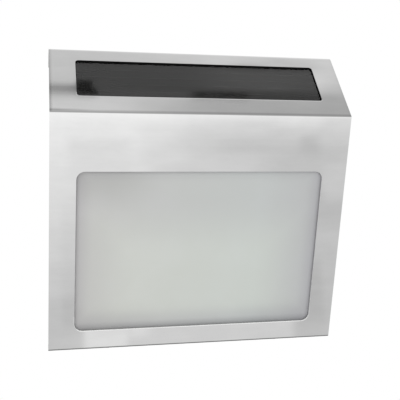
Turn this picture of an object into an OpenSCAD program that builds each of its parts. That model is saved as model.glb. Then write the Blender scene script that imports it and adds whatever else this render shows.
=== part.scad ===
// Solar house number light. A bent steel cover hooks over a wedge-shaped plastic housing.
// A milky number panel shows in front, a solar panel on the slope, and the back holds the battery and switch.
// X runs along the wall, +Y runs into the wall and +Z is up, in millimetres.
// The origin lies on the wall, midway between the two keyholes that the light hangs on.

/* [Steel cover] */
// Width of the bent sheet
cover_w = 200; // [190:1:240]
// Height of the bent sheet
cover_h = 202; // [198:1:215]
// Depth from the wall to the fold
cover_d = 45.5; // [43:0.5:56]
// Drop from the upper edge to the fold
fold_drop = 42.5; // [41:0.5:47]
// Depth of the lower edge from the wall
foot_d = 14; // [13:0.5:18]
// Thickness of the sheet
sheet_t = 0.8; // [0.6:0.1:1]
// Outer radius of the fold and of the lower bend
fold_r = 1.5; // [1.2:0.1:2.5]
// Outer radius of the upper bend, at the wall
hook_r = 4; // [3:0.5:5]
// Height of the hooked flange behind the housing
hook_h = 12; // [9:0.5:13]
// How far the sheet overhangs the housing at each side
side_lap = 2; // [1:0.5:4]
// Gap between the lower flange and the wall
foot_gap = 1; // [0.5:0.5:3]

/* [Number window] */
// Width of the sheet beside the opening
window_side = 16.9; // [16:0.1:40]
// Distance from the fold down to the opening
window_drop = 38.3; // [37.5:0.1:45]
// Width of the sheet below the opening
window_foot = 13.6; // [13.5:0.1:30]
// Corner radius of the opening
window_r = 5.5; // [2:0.5:12]

/* [Number panel] */
// Thickness of the milky panel
panel_t = 2; // [1.5:0.1:2.4]
// How far the panel reaches behind the sheet all round
panel_lap = 4; // [3:0.5:4.5]
// Drop from the housing's face to the panel's face
panel_drop = 0.4; // [0.2:0.1:0.8]
// Play between the panel's edge and its seat
panel_play = 0.3; // [0.2:0.1:0.6]
// Width of the seal behind the panel
panel_seal_w = 2.4; // [1.5:0.1:2.8]

/* [Solar panel] */
// Width of the sheet beside the opening
solar_side = 17.1; // [16:0.1:40]
// Distance from the fold up to the opening
solar_rise = 14.6; // [12:0.1:17]
// Distance from the opening up to the start of the upper bend
solar_back = 8.6; // [8:0.1:16]
// Corner radius of the opening
solar_r = 2; // [1:0.5:5]
// Drop from the sheet's outside to the glass
solar_drop = 1.2; // [1:0.1:2.6]
// How far the panel reaches under the sheet all round
solar_lap = 1.8; // [1:0.1:2.2]
// Play between the panel's edge and its tray
solar_play = 0.3; // [0.2:0.1:0.6]
// Thickness of the cover glass
glass_t = 1.4; // [1:0.1:1.8]
// Thickness of the photovoltaic film
film_t = 0.2; // [0.2:0.1:0.4]
// Thickness of the backing board
backing_t = 1.4; // [1:0.1:1.8]
// Width of the tape that holds the panel down
tape_w = 4; // [2:0.5:6]
// Number of cells in the film
cell_count = 5; // [3:1:8]
// Width of the line between two cells
cell_line = 0.3; // [0.2:0.1:0.5]

/* [Housing] */
// Thickness of the housing's walls
wall_t = 2; // [1.6:0.1:2.2]
// Gap between the sheet and the housing
skin_gap = 0.2; // [0.1:0.1:0.4]
// Thickness of the soft seals and tapes
seal_t = 0.6; // [0.4:0.1:0.8]
// Thickness of the ledge under the number panel
ledge_t = 1.4; // [1:0.1:1.6]
// Thickness of the solar tray's walls and floor
tray_t = 1.6; // [1.2:0.1:2]
// Radius of the bosses for the back screws
boss_r = 3.2; // [2.8:0.1:3.5]
// Height of the lowest pair of back screws
low_screw_h = 16; // [14:1:24]
// Distance from the upper edge down to the highest pair of back screws
top_screw_drop = 24; // [22:1:28]
// Distance from the back cover's side to its screws
screw_inset = 5.2; // [5:0.1:6.5]
// Distance from the cover's middle to a flange screw
flange_screw_x = 60; // [40:1:80]
// Length of the bosses for the flange screws
flange_boss_h = 8; // [6:0.5:8.5]

/* [Back cover] */
// Thickness of the back cover
plate_t = 2; // [1.8:0.1:2.2]
// Distance from the sheet's upper edge down to the back cover
plate_drop = 16; // [15:0.5:18]
// Width and depth of the ledge that carries the back cover
rest_w = 3; // [2:0.5:3]
// Play round the back cover and its lip
plate_play = 0.3; // [0.2:0.1:0.5]
// Thickness of the lip inside the ledge
lip_t = 1.2; // [1:0.1:1.6]
// Thickness of the ribs inside the housing and on the back cover
rib_t = 1.4; // [1:0.1:1.8]
// Number of ribs behind the reflector
rib_count = 4; // [2:1:6]
// Number of gussets inside the fold
gusset_count = 6; // [2:1:8]
// Depth of the gussets, from the fold inwards
gusset_d = 12; // [8:0.5:14]

/* [Keyholes] */
// Distance from the sheet's upper edge down to the keyhole entries
hang_drop = 35; // [33:1:38]
// Distance between the keyholes
hang_w = 120; // [100:1:140]
// Radius of a keyhole's entry
entry_r = 4.5; // [4:0.1:5]
// Width of a keyhole's slot
neck_w = 4.6; // [4:0.1:5.4]
// Rise of the slot above the entry
neck_h = 8; // [6:0.5:8.5]
// Depth of the pocket for a screw head
pocket_d = 5; // [4.5:0.1:6]
// Thickness of the pocket's walls
pocket_t = 1.2; // [1:0.1:1.6]

/* [Battery] */
// Radius of the battery with its sleeve
battery_r = 7.25; // [7:0.05:7.25]
// Length of the battery with its nub
battery_len = 50.5; // [49:0.5:51]
// Distance from the sheet's upper edge down to the battery's axis
battery_drop = 56; // [55:0.5:58]
// Play round the battery in its bay
battery_play = 0.8; // [0.6:0.1:1]
// Thickness of the battery bay's walls
bay_t = 1.8; // [1.6:0.1:2]
// Length of the battery spring when it is pressed
spring_len = 8; // [6:0.5:10]
// Number of turns of the battery spring
spring_turns = 4; // [3:0.5:4]
// Thickness of the spring's wire
spring_wire = 0.8; // [0.6:0.1:0.8]
// Thickness of the contact plates
contact_t = 0.4; // [0.3:0.1:0.5]

/* [Battery door] */
// Thickness of the door
door_t = 1.6; // [1.3:0.1:1.6]
// How far the door lies below the back cover's face
door_drop = 0.3; // [0.2:0.1:0.4]
// Radius of the door's hinge barrel
barrel_r = 2.2; // [2:0.1:2.4]
// Radius of the door's hinge pins
pin_r = 1; // [0.8:0.1:1.1]
// Length of the door's hinge pins
pin_len = 1; // [0.8:0.1:1.2]
// Clearance round the hinge pins
pin_gap = 0.06; // [0.04:0.01:0.09]
// Clearance round the door
door_gap = 0.4; // [0.3:0.1:0.6]
// Width of the snap tabs on the door
snap_w = 7; // [4:0.5:9]
// Distance from the middle to a snap tab
snap_x = 14; // [10:0.5:20]
// Length of the foam pad inside the door
pad_w = 30; // [16:1:44]
// Height of the foam pad inside the door
pad_h = 6; // [3:0.5:9]

/* [Switch and board] */
// Distance from the sheet's side to the switch
switch_side = 38; // [36:1:42]
// Travel of the switch's slider
switch_travel = 2; // [1.5:0.1:2.5]
// Width of the slider's knob
knob_w = 3.2; // [2.4:0.1:3.6]
// Depth of the finger well in the back cover
well_d = 3; // [2.5:0.1:3.2]
// Depth of the knob's tip below the back cover's face
knob_drop = 0.9; // [0.6:0.1:1.4]
// Width of the circuit board
board_w = 46; // [44:1:48]
// Height of the circuit board
board_h = 24; // [22:1:25]
// Thickness of the circuit boards
board_t = 1.6; // [1:0.1:1.8]
// Length of the board screws below the board
board_screw_len = 3.5; // [2.5:0.5:4]

/* [Light chamber] */
// Thickness of the white reflector's walls
reflector_t = 1.2; // [1:0.1:1.4]
// Number of light-emitting diodes
led_count = 6; // [4:1:8]
// Distance between the diodes
led_pitch = 20; // [12:1:20]
// Length of the diode board
strip_w = 132; // [130:1:150]

/* [Hidden] */

$fn = 64;
nudge = 0.5;      // how far a cutter runs past the face that it cuts
touch_gap = 0.05; // clearance where two pieces of one body meet
punch = 4;        // how far the punched openings' cutters reach to each side of the sheet

// Heights above the lower edge of what is set from the upper edge
fold_h = cover_h - fold_drop;
hang_h = cover_h - hang_drop;
battery_h = cover_h - battery_drop;
plate_top = cover_h - plate_drop;
top_screw_h = cover_h - top_screw_drop;

// Steel sheet: outward normals of the flats, in degrees, and the bends' centres as [y, z]
front_tilt = atan2(cover_d - foot_d, fold_h);
hook_c = [-hook_r, cover_h - hook_r];
slope_reach = norm([cover_d - hook_r, hook_c[1] - fold_h]);
slope_tilt = atan2(cover_d - hook_r, hook_c[1] - fold_h) - asin(hook_r / slope_reach);
wall_normal = 0;
slope_normal = 180 - slope_tilt;
front_normal = 180 + front_tilt;
foot_normal = 270;
seam_share = 0.07;  // how far a flat runs into its bend, as a share of the bend's radius
seam_angle = 2;     // where the bend's own sheet starts
fold_c = bend_centre([-cover_d, fold_h], fold_r, slope_normal, front_normal);
foot_c = bend_centre([-foot_d, 0], fold_r, front_normal, foot_normal);

function ray(from, r, angle) = [from[0] + r * cos(angle), from[1] + r * sin(angle)];
function slope_point(x, y, d) =
    [x, -cover_d + y * sin(slope_tilt) + d * cos(slope_tilt), fold_h + y * cos(slope_tilt) - d * sin(slope_tilt)];
function bend_centre(corner, r, a, b) = ray(corner, -r / cos((b - a) / 2), (a + b) / 2);

// Distance from the wall, at height z, of a surface that lies d inside the sheet's outside
function front_out(z, d) = foot_d + z * tan(front_tilt) - d / cos(front_tilt);
function slope_out(z, d) = hook_r + (hook_r - d - (z - hook_c[1]) * sin(slope_tilt)) / cos(slope_tilt);
function ridge_z(d) =
    (slope_out(0, d) - front_out(0, d)) / (tan(front_tilt) + tan(slope_tilt));
function ridge(d) = [-front_out(ridge_z(d), d), ridge_z(d)];
// Section of the wedge, d inside the sheet, from the wall side at back, between heights low and top
function wedge(d, back, low, top) =
    top > ridge_z(d)
    ? [[-back, low], [-front_out(low, d), low], ridge(d), [-slope_out(top, d), top], [-back, top]]
    : [[-back, low], [-front_out(low, d), low], [-front_out(top, d), top], [-back, top]];

// Openings in the sheet
window_w = cover_w - 2 * window_side;
window_h = norm([cover_d - foot_d, fold_h]) - window_drop - window_foot;
solar_w = cover_w - 2 * solar_side;
solar_h = sqrt(slope_reach * slope_reach - hook_r * hook_r) - solar_rise - solar_back;

// Housing
skin_d = sheet_t + skin_gap;
housing_x = cover_w / 2 - side_lap;
inner_x = housing_x - wall_t;
housing_top = hook_c[1];
floor_top = skin_d + wall_t;

// Number panel, measured on the front of the sheet
panel_w = window_w + 2 * panel_lap;
panel_h = window_h + 2 * panel_lap;
panel_r = window_r + panel_lap;
panel_d = skin_d + panel_drop;
panel_y = -(window_drop + window_h / 2);
seat_d = panel_d + panel_t + seal_t;
front_back_d = seat_d + ledge_t;
sight_lap = 1;
frame_rim = 1.6;

// Solar panel, measured on the slope
module_w = solar_w + 2 * solar_lap;
module_h = solar_h + 2 * solar_lap;
module_r = solar_r;
solar_y = solar_rise + solar_h / 2;
film_d = solar_drop + glass_t;
backing_d = film_d + film_t;
tape_d = backing_d + backing_t;
tray_d = tape_d + seal_t;
cable_hole_r = 2.5;

// Back cover
plate_x = inner_x - plate_play;
plate_low = floor_top + plate_play;
rest_d = plate_t + rest_w;
screw_x = plate_x - screw_inset;
screw_heights = [low_screw_h, (low_screw_h + top_screw_h) / 2, top_screw_h];
opening_top = plate_top + plate_play;

// Countersunk back screws and pan-head flange screws
shank_r = 1.25;
pilot_r = 1.3;
sink_r = 2.5;
sink_h = 1.3;
back_screw_len = 9;
flange_screw_len = 7;
pan_r = 2.6;
pan_h = 1;
cross_w = 0.7;
cross_l = 2.6;
cross_d = 0.7;
clear_r = 1.6;
flange_screw_out = (foot_d + rest_w) / 2 - 0.6;

// Battery bay: the battery lies along X
bay_r = battery_r + battery_play;
battery_out = door_drop + door_t + battery_r + 0.85;
bay_floor = battery_out + battery_r + 0.4;
bay_len = battery_len + spring_len + 2 * contact_t + 0.8;
bay_low = battery_h - bay_r;
bay_top = battery_h + bay_r;
hinge_out = door_drop + barrel_r;
hinge_z = bay_top + barrel_r - 0.3;
barrel_room = 0.5;
door_open_top = hinge_z + barrel_r + barrel_room;
door_open_low = bay_low - 2.2;
door_low = door_open_low + door_gap;
frame_d = plate_t + bay_t;
barrel_pocket_d = hinge_out + barrel_r + barrel_room;
door_len = bay_len - 2 * door_gap;
positive_x = -bay_len / 2 + 0.2;
nub_tip_x = positive_x + contact_t + touch_gap;
nub_len = 1.2;
nub_r = 2.75;
sleeve_t = 0.25;
can_r = battery_r - sleeve_t - touch_gap;
negative_x = bay_len / 2 - 0.2;
tab_w = 3;
contact_w = 11;

snap_reach = 2.4;
snap_t = 1.05;
snap_gap = 0.35;

// Switch: its knob stands in a finger well
switch_x = cover_w / 2 - switch_side;
well_w = 13;
well_h = 7.5;
well_floor_t = 1.2;
can_out = well_d + well_floor_t + 0.2;
can_size = [8.8, 3.7, 4.6];
can_t = 0.4;
board_out = can_out + can_size[1];
board_x = switch_x + 3;
board_z = battery_h;
knob_h = 2.4;
knob_slot_play = 0.3;
slider_play = 0.15;
slider_block = [4.4, 1.5, can_size[2] - 2 * can_t - 2 * slider_play];
post_r = 2.4;
post_inset = 3.2;
board_screw_r = 0.95;
cable_hole_x = board_x - 15;
chip_at = [-8, -4];
inductor_at = [7, -4];
capacitor_at = [-9, 6];

// Light chamber
chamber_back = plate_t + 1.4;
chamber_x = window_w / 2 + sight_lap + 2.4;
chamber_low = floor_top + flange_boss_h - 0.4;
chamber_top = fold_h - window_drop * cos(front_tilt) + 5.4;
led_out = 19;
led_slot_h = 5;
led_size = [3.5, 2.8, 0.9];
strip_h = 10;
strip_t = 1.2;
strip_z = chamber_top + touch_gap;
stake_r = 1;
stake_x = strip_w / 2 - 4;
rib_inset = 14;
rib_pitch = 2 * chamber_x / (rib_count + 1);

// Wires
wire_r = 0.65;
wire_spread = 0.9;
wire_gap = 0.15; // clearance between a wire's end and what it is soldered to
wire_stub = 1.5; // straight stretch of a wire off a contact
board_face = board_out + board_t + wire_gap;
tab_face = bay_floor + bay_t + 1.2;
bay_end = bay_len / 2 + bay_t;
solder_in = 4;
led_lead_x = stake_x - 12;
function near_board(x, lift, z) = [board_x + x, -board_face - lift, battery_h + z];
solar_route = [
    slope_point(cable_hole_x, solar_y, tape_d + wire_gap), slope_point(cable_hole_x, solar_y, tray_d + tray_t + 1.2),
    near_board(-13, 5.2, 26), near_board(-9, 2.9, 19.5), near_board(-4.5, 3.9, 13), near_board(-2.5, 2.7, 8.5),
    near_board(-2.5, 0, 8)
];
led_route = [
    [led_lead_x, -led_out, strip_z + strip_t + wire_gap], [led_lead_x, -led_out + 0.4, strip_z + strip_t + 3],
    near_board(solder_in - board_w / 2 + 4, 6.3, -10.5), near_board(solder_in - board_w / 2 + 4, 3, -7.2),
    near_board(solder_in - board_w / 2 + 4, 0, -6.5)
];
negative_route = [
    [negative_x + wire_gap, -tab_face, battery_h + 1], [negative_x + wire_stub, -tab_face, battery_h + 1],
    [bay_end + 2, -tab_face, battery_h + 2.5],
    near_board(solder_in - board_w / 2 - 1.5, 4.2, 4.5), near_board(solder_in - board_w / 2, 0, 4)
];
positive_route = [
    [positive_x + contact_t + wire_gap, -tab_face, battery_h - 1],
    [positive_x + contact_t + wire_stub, -tab_face, battery_h - 1], [positive_x + 5, -tab_face - 0.8, battery_h - 2],
    [0, -tab_face - 0.8, battery_h - 5], [bay_end + 2, -tab_face, battery_h - 5.5],
    near_board(solder_in - board_w / 2 - 1.5, 4.2, -4.8), near_board(solder_in - board_w / 2, 0, -4)
];

// Steps of a swept tube
wire_steps = 4;
wire_sides = 6;

module lifted() {
    translate([0, 0, -hang_h]) children();
}

// A flat shape drawn as (y, z), extruded across the width
module across(w) {
    rotate([90, 0, 90]) linear_extrude(w, center = true) children();
}

// Local frames with x along the wall, y up the sheet and z out of it, starting at the fold
module on_front(depth = 0) {
    translate([0, -cover_d, fold_h]) rotate([90 + front_tilt, 0, 0]) translate([0, 0, -depth]) children();
}

module on_slope(depth = 0) {
    translate([0, -cover_d, fold_h]) rotate([90 - slope_tilt, 0, 0]) translate([0, 0, -depth]) children();
}

// Turns a shape that grows along +Z so that it grows away from the wall
module outward() {
    rotate([90, 0, 0]) children();
}

// A box by its middle x, its distances from the wall and its heights
module block(x, w, out, low) {
    translate([x - w / 2, -out[1], low[0]]) cube([w, out[1] - out[0], low[1] - low[0]]);
}

module rounded(w, h, r) {
    square([w - 2 * r, h], center = true);
    square([w, h - 2 * r], center = true);
    for (x = [-1, 1], y = [-1, 1])
        translate([x * (w / 2 - r), y * (h / 2 - r)]) circle(r);
}

module slab(w, h, r, t) {
    linear_extrude(t) rounded(w, h, r);
}

module ring(w, h, r, width, t) {
    difference() {
        slab(w, h, r, t);
        translate([0, 0, -nudge])
            slab(w - 2 * width, h - 2 * width, max(r - width, 0.4), t + 2 * nudge);
    }
}

// Sheet metal in section: a flat from a to b that runs a little into its bends, and a bend about a centre
module flat(a, b, normal, into_a = 0, into_b = 0) {
    along = normal + 90;
    c = ray(a, -into_a, along);
    d = ray(b, into_b, along);
    polygon([c, d, ray(d, -sheet_t, normal), ray(c, -sheet_t, normal)]);
}

module bend(centre, r, a, b) {
    start = a + seam_angle;
    end = b - seam_angle;
    translate(centre) intersection() {
        difference() {
            circle(r);
            circle(r - sheet_t);
        }
        polygon([[0, 0], ray([0, 0], 3 * r, start), ray([0, 0], 3 * r, (a + b) / 2), ray([0, 0], 3 * r, end)]);
    }
}

module sheet_section() {
    hook_seam = seam_share * hook_r;
    fold_seam = seam_share * fold_r;
    flat([0, cover_h - hook_h], [0, cover_h - hook_r], wall_normal, 0, hook_seam);
    bend(hook_c, hook_r, wall_normal, slope_normal);
    flat(ray(hook_c, hook_r, slope_normal), ray(fold_c, fold_r, slope_normal), slope_normal, hook_seam, fold_seam);
    bend(fold_c, fold_r, slope_normal, front_normal);
    flat(ray(fold_c, fold_r, front_normal), ray(foot_c, fold_r, front_normal), front_normal, fold_seam, fold_seam);
    bend(foot_c, fold_r, front_normal, foot_normal);
    flat(ray(foot_c, fold_r, foot_normal), [-foot_gap, 0], foot_normal, fold_seam, 0);
}

module steel_cover() {
    color("silver") lifted() difference() {
        across(cover_w) sheet_section();
        on_front(punch) translate([0, panel_y, 0]) slab(window_w, window_h, window_r, 2 * punch);
        on_slope(punch) translate([0, solar_y, 0]) slab(solar_w, solar_h, solar_r, 2 * punch);
        for (x = [-1, 1])
            translate([x * flange_screw_x, -flange_screw_out, -nudge]) cylinder(r = clear_r, h = sheet_t + 2 * nudge);
    }
}

// Outside of the housing, with the step that the sheet's hook fills
module housing_blank() {
    difference() {
        across(2 * housing_x) polygon(wedge(skin_d, 0, skin_d, housing_top));
        block(0, 2 * housing_x + 2, [-nudge, skin_d], [cover_h - hook_h - skin_gap, cover_h]);
    }
}

module housing_cavity() {
    across(2 * inner_x) polygon(wedge(skin_d + wall_t, rest_d, floor_top, housing_top - wall_t));
}

// Thickened frame round the number panel, and the tray that the solar panel lies in
module window_frames() {
    on_front(front_back_d) translate([0, panel_y, 0])
        slab(panel_w + 2 * (panel_play + frame_rim), panel_h + 2 * (panel_play + frame_rim), panel_r, front_back_d);
    on_slope(tray_d + tray_t) translate([0, solar_y, 0])
        slab(module_w + 2 * (solar_play + tray_t), module_h + 2 * (solar_play + tray_t), module_r, tray_d + tray_t);
}

module window_cuts() {
    on_front(seat_d) translate([0, panel_y, 0])
        slab(panel_w + 2 * panel_play, panel_h + 2 * panel_play, panel_r + panel_play, seat_d);
    on_front(front_back_d + nudge) translate([0, panel_y, 0])
        slab(window_w + 2 * sight_lap, window_h + 2 * sight_lap, window_r + sight_lap, seat_d);
    on_slope(tray_d) translate([0, solar_y, 0])
        slab(module_w + 2 * solar_play, module_h + 2 * solar_play, module_r + solar_play, tray_d);
    on_slope(tray_d + tray_t + nudge) translate([cable_hole_x, solar_y, 0]) cylinder(r = cable_hole_r, h = tray_d);
}

// Webs that tie the front to the slope behind the fold
module gussets() {
    pitch = 2 * inner_x / (gusset_count + 1);
    for (i = [1 : gusset_count])
        block(i * pitch - inner_x, rib_t, [cover_d - gusset_d, cover_d], [fold_h - 1.4 * gusset_d, fold_h + gusset_d]);
}

module at_back_screws() {
    for (x = [-1, 1], z = screw_heights)
        translate([x * screw_x, 0, z]) outward() children();
}

module at_flange_screws() {
    for (x = [-1, 1])
        translate([x * flange_screw_x, -flange_screw_out, 0]) children();
}

module front_housing() {
    color("#1c1c1e") lifted() difference() {
        union() {
            difference() {
                housing_blank();
                housing_cavity();
            }
            intersection() {
                housing_blank();
                union() {
                    window_frames();
                    gussets();
                    at_back_screws() translate([0, 0, plate_t]) cylinder(r = boss_r, h = cover_d);
                    at_flange_screws() cylinder(r = boss_r - 0.6, h = skin_d + flange_boss_h);
                }
            }
        }
        window_cuts();
        block(0, 2 * inner_x, [-nudge, plate_t], [floor_top, opening_top]);
        difference() {
            block(0, 2 * (inner_x - rest_w), [-nudge, rest_d + nudge], [floor_top + rest_w, opening_top - rest_w]);
            at_back_screws() cylinder(r = boss_r, h = cover_d);
            at_flange_screws() cylinder(r = boss_r - 0.6, h = skin_d + flange_boss_h);
        }
        at_back_screws() cylinder(r = pilot_r, h = back_screw_len + 1.5);
        at_flange_screws() cylinder(r = pilot_r, h = sheet_t + flange_screw_len + 0.5);
    }
}

// A keyhole: a round entry with a slot above it
module keyhole(grow, depth) {
    outward() linear_extrude(depth) {
        circle(entry_r + grow);
        translate([-neck_w / 2 - grow, 0]) square([neck_w + 2 * grow, neck_h]);
        translate([0, neck_h]) circle(neck_w / 2 + grow);
    }
}

module keyhole_pocket(grow, depth) {
    outward() linear_extrude(depth) {
        circle(entry_r + grow);
        translate([-entry_r - grow, 0]) square([2 * (entry_r + grow), neck_h]);
        translate([0, neck_h]) circle(entry_r + grow);
    }
}

module at_keyholes() {
    for (x = [-1, 1])
        translate([x * hang_w / 2, 0, hang_h]) children();
}

module back_plate() {
    block(0, 2 * plate_x, [0, plate_t], [plate_low, plate_top]);
    difference() {
        block(0, 2 * (inner_x - rest_w - plate_play), [plate_t, rest_d - 0.6],
            [floor_top + rest_w + plate_play, opening_top - rest_w - plate_play]);
        block(0, 2 * (inner_x - rest_w - plate_play - lip_t), [plate_t, rest_d],
            [floor_top + rest_w + plate_play + lip_t, opening_top - rest_w - plate_play - lip_t]);
        at_back_screws() cylinder(r = boss_r + plate_play, h = cover_d);
        block(flange_screw_x, 2 * boss_r + 1, [plate_t, rest_d], [0, floor_top + flange_boss_h]);
        block(-flange_screw_x, 2 * boss_r + 1, [plate_t, rest_d], [0, floor_top + flange_boss_h]);
    }
    for (i = [1 : rib_count])
        block(i * rib_pitch - chamber_x, rib_t, [plate_t, chamber_back - touch_gap],
            [chamber_low + rib_inset, chamber_top - rib_inset]);
}

module battery_bay_walls() {
    block(0, bay_len + 2 * bay_t, [plate_t, frame_d], [door_open_low - bay_t, door_open_top + bay_t]);
    block(0, bay_len + 2 * bay_t, [plate_t, bay_floor + bay_t], [bay_low - bay_t, bay_top + bay_t]);
    block(0, bay_len + 2 * bay_t, [plate_t, barrel_pocket_d + bay_t], [battery_h, door_open_top + bay_t]);
}

module battery_bay_cuts() {
    block(0, bay_len, [-nudge, plate_t], [door_open_low, door_open_top]);
    block(0, bay_len, [-nudge, bay_floor], [bay_low, bay_top]);
    block(0, bay_len, [-nudge, barrel_pocket_d], [battery_h, door_open_top]);
    translate([0, nudge, door_open_low]) outward() cylinder(r = 6, h = plate_t - 0.8 + nudge);
    translate([0, -hinge_out, hinge_z]) rotate([0, 90, 0])
        cylinder(r = pin_r + pin_gap, h = bay_len + 2 * pin_len + 0.4, center = true);
    for (x = [positive_x + contact_t / 2, negative_x - contact_t / 2])
        block(x, contact_t + 0.3, [bay_floor - nudge, bay_floor + bay_t + nudge],
            [battery_h - tab_w / 2 - 0.3, battery_h + tab_w / 2 + 0.3]);
}

// Finger well of the switch, with a slot in its floor for the knob
module switch_well() {
    translate([switch_x, -plate_t + touch_gap, board_z]) outward()
        slab(well_w + 2 * well_floor_t, well_h + 2 * well_floor_t, 1.5 + well_floor_t, well_d + well_floor_t - plate_t + touch_gap);
}

module switch_cuts() {
    translate([switch_x, nudge, board_z]) outward() slab(well_w, well_h, 1.5, well_d + nudge);
    block(switch_x, knob_w + switch_travel + 2 * knob_slot_play, [0, well_d + well_floor_t + nudge],
        [board_z - knob_h / 2 - knob_slot_play, board_z + knob_h / 2 + knob_slot_play]);
}

module at_board_posts() {
    for (x = [-1, 1], z = [-1, 1])
        translate([board_x + x * (board_w / 2 - post_inset), 0, board_z + z * (board_h / 2 - post_inset)])
            outward() children();
}

module back_cover() {
    color("#232325") lifted() difference() {
        union() {
            back_plate();
            battery_bay_walls();
            switch_well();
            at_keyholes() translate([0, -plate_t + touch_gap, 0]) keyhole_pocket(pocket_t, pocket_d + pocket_t + touch_gap);
            at_board_posts() translate([0, 0, plate_t - touch_gap]) cylinder(r = post_r, h = board_out - plate_t + touch_gap);
        }
        battery_bay_cuts();
        switch_cuts();
        at_keyholes() translate([0, nudge, 0]) keyhole(0, plate_t + 2 * nudge);
        at_keyholes() translate([0, -plate_t, 0]) keyhole_pocket(0, pocket_d);
        at_back_screws() {
            translate([0, 0, -nudge]) cylinder(r = clear_r, h = plate_t + 2 * nudge);
            cylinder(r1 = sink_r + 0.1, r2 = clear_r, h = sink_h);
        }
        at_board_posts() translate([0, 0, board_out - board_screw_len - 0.5]) cylinder(r = board_screw_r + touch_gap, h = 2 * board_screw_len);
    }
}

module cross_recess() {
    for (a = [0, 90])
        rotate([0, 0, a]) translate([-cross_l / 2, -cross_w / 2, -nudge]) cube([cross_l, cross_w, cross_d + nudge]);
}

module back_screws() {
    color("silver") lifted() at_back_screws() difference() {
        union() {
            translate([0, 0, 0.1]) cylinder(r1 = sink_r, r2 = shank_r, h = sink_h);
            translate([0, 0, 0.1 + sink_h]) cylinder(r = shank_r, h = back_screw_len - sink_h);
        }
        translate([0, 0, 0.1]) cross_recess();
    }
}

module flange_screws() {
    color("silver") lifted() at_flange_screws() difference() {
        union() {
            translate([0, 0, -pan_h]) cylinder(r1 = pan_r - 0.5, r2 = pan_r, h = pan_h / 2);
            translate([0, 0, -pan_h / 2]) cylinder(r = pan_r, h = pan_h / 2);
            cylinder(r = shank_r, h = sheet_t + flange_screw_len);
        }
        translate([0, 0, -pan_h]) cross_recess();
    }
}

module number_panel() {
    color("#e4e8e0") lifted() on_front(panel_d + panel_t) translate([0, panel_y, 0])
        slab(panel_w, panel_h, panel_r, panel_t);
}

module number_panel_seal() {
    color("#303030") lifted() on_front(seat_d) translate([0, panel_y, 0])
        ring(panel_w, panel_h, panel_r, panel_seal_w, seal_t);
}

// White box behind the number panel: open in front, with a slot for the diodes on top
module reflector() {
    back = chamber_back;
    color("white") lifted() {
        difference() {
            across(2 * chamber_x) polygon(wedge(front_back_d + touch_gap, back, chamber_low, chamber_top));
            across(2 * (chamber_x - reflector_t))
                polygon(wedge(-5, back + reflector_t, chamber_low + reflector_t, chamber_top - reflector_t));
            block(0, (led_count - 1) * led_pitch + led_size[0] + 6, [led_out - led_slot_h / 2, led_out + led_slot_h / 2],
                [chamber_top - reflector_t - nudge, chamber_top + nudge]);
        }
        for (x = [-1, 1])
            translate([x * stake_x, -led_out, chamber_top - touch_gap]) cylinder(r = stake_r, h = strip_t + 1);
    }
}

module solar_glass() {
    color("#2b2c2e", 0.5) lifted() on_slope(film_d) translate([0, solar_y, 0])
        slab(module_w, module_h, module_r, glass_t);
}

// The film is cut into long cells by thin lines
module solar_film() {
    cell_h = (module_h - 4 - (cell_count - 1) * cell_line) / cell_count;
    color("#1a1614") lifted() on_slope(backing_d) translate([-(module_w - 4) / 2, solar_y - module_h / 2 + 2, 0])
        for (i = [0 : cell_count - 1])
            translate([0, i * (cell_h + cell_line), 0]) cube([module_w - 4, cell_h, film_t]);
}

module solar_backing() {
    color("#101010") lifted() on_slope(tape_d) translate([0, solar_y, 0])
        slab(module_w, module_h, module_r, backing_t);
}

module solar_tape() {
    color("#404040") lifted() on_slope(tray_d) translate([0, solar_y, 0])
        ring(module_w - 1, module_h - 1, module_r, tape_w, seal_t);
}

module led_board() {
    color("white") lifted() translate([0, -led_out, strip_z]) difference() {
        translate([-strip_w / 2, -strip_h / 2, 0]) cube([strip_w, strip_h, strip_t]);
        for (x = [-1, 1])
            translate([x * stake_x, 0, -nudge]) cylinder(r = stake_r + 0.1, h = strip_t + 2 * nudge);
    }
}

module leds() {
    color("#f3e27a") lifted()
        for (i = [0 : led_count - 1])
            translate([(i - (led_count - 1) / 2) * led_pitch, -led_out, strip_z - led_size[2]]) difference() {
                translate([-led_size[0] / 2, -led_size[1] / 2, 0]) cube(led_size);
                translate([0, 0, -nudge]) cylinder(r1 = 1.2, r2 = 0.9, h = nudge + 0.4);
            }
}

module main_board() {
    color("#1d6b3c") lifted() difference() {
        block(board_x, board_w, [board_out, board_out + board_t], [board_z - board_h / 2, board_z + board_h / 2]);
        at_board_posts() cylinder(r = board_screw_r + 0.15, h = cover_d);
    }
}

module board_screws() {
    color("silver") lifted() at_board_posts() {
        translate([0, 0, board_out - board_screw_len]) cylinder(r = board_screw_r, h = board_screw_len + board_t);
        translate([0, 0, board_out + board_t]) difference() {
            cylinder(r = 1.8, h = 1.2);
            translate([0, 0, 1.2]) mirror([0, 0, 1]) cross_recess();
        }
    }
}

// Parts that stand on the board's far side; x and z are measured from the board's middle
module on_board(at) {
    translate([board_x + at[0], -(board_out + board_t), board_z + at[1]]) outward() children();
}

module driver_chip() {
    color("#202020") lifted() on_board(chip_at) {
        translate([-2.5, -2, 0.1]) cube([5, 4, 1.6]);
        for (side = [-1, 1], i = [-1.5, -0.5, 0.5, 1.5])
            translate([i * 1.2 - 0.2, side > 0 ? 2 : -3.1, 0]) cube([0.4, 1.1, 0.3]);
    }
}

module inductor() {
    color("#3a3330") lifted() on_board(inductor_at) rotate_extrude()
        polygon([[0, 0], [4, 0], [4, 1.2], [2.6, 1.8], [2.6, 5], [4, 5.6], [4, 6.8], [0, 6.8]]);
}

module capacitor() {
    color("#28324a") lifted() on_board(capacitor_at) rotate_extrude()
        polygon([[0, 0], [2.5, 0], [2.5, 0.9], [2.3, 1.2], [2.5, 1.5], [2.5, 7.6], [2.2, 8], [0, 8]]);
}

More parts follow.
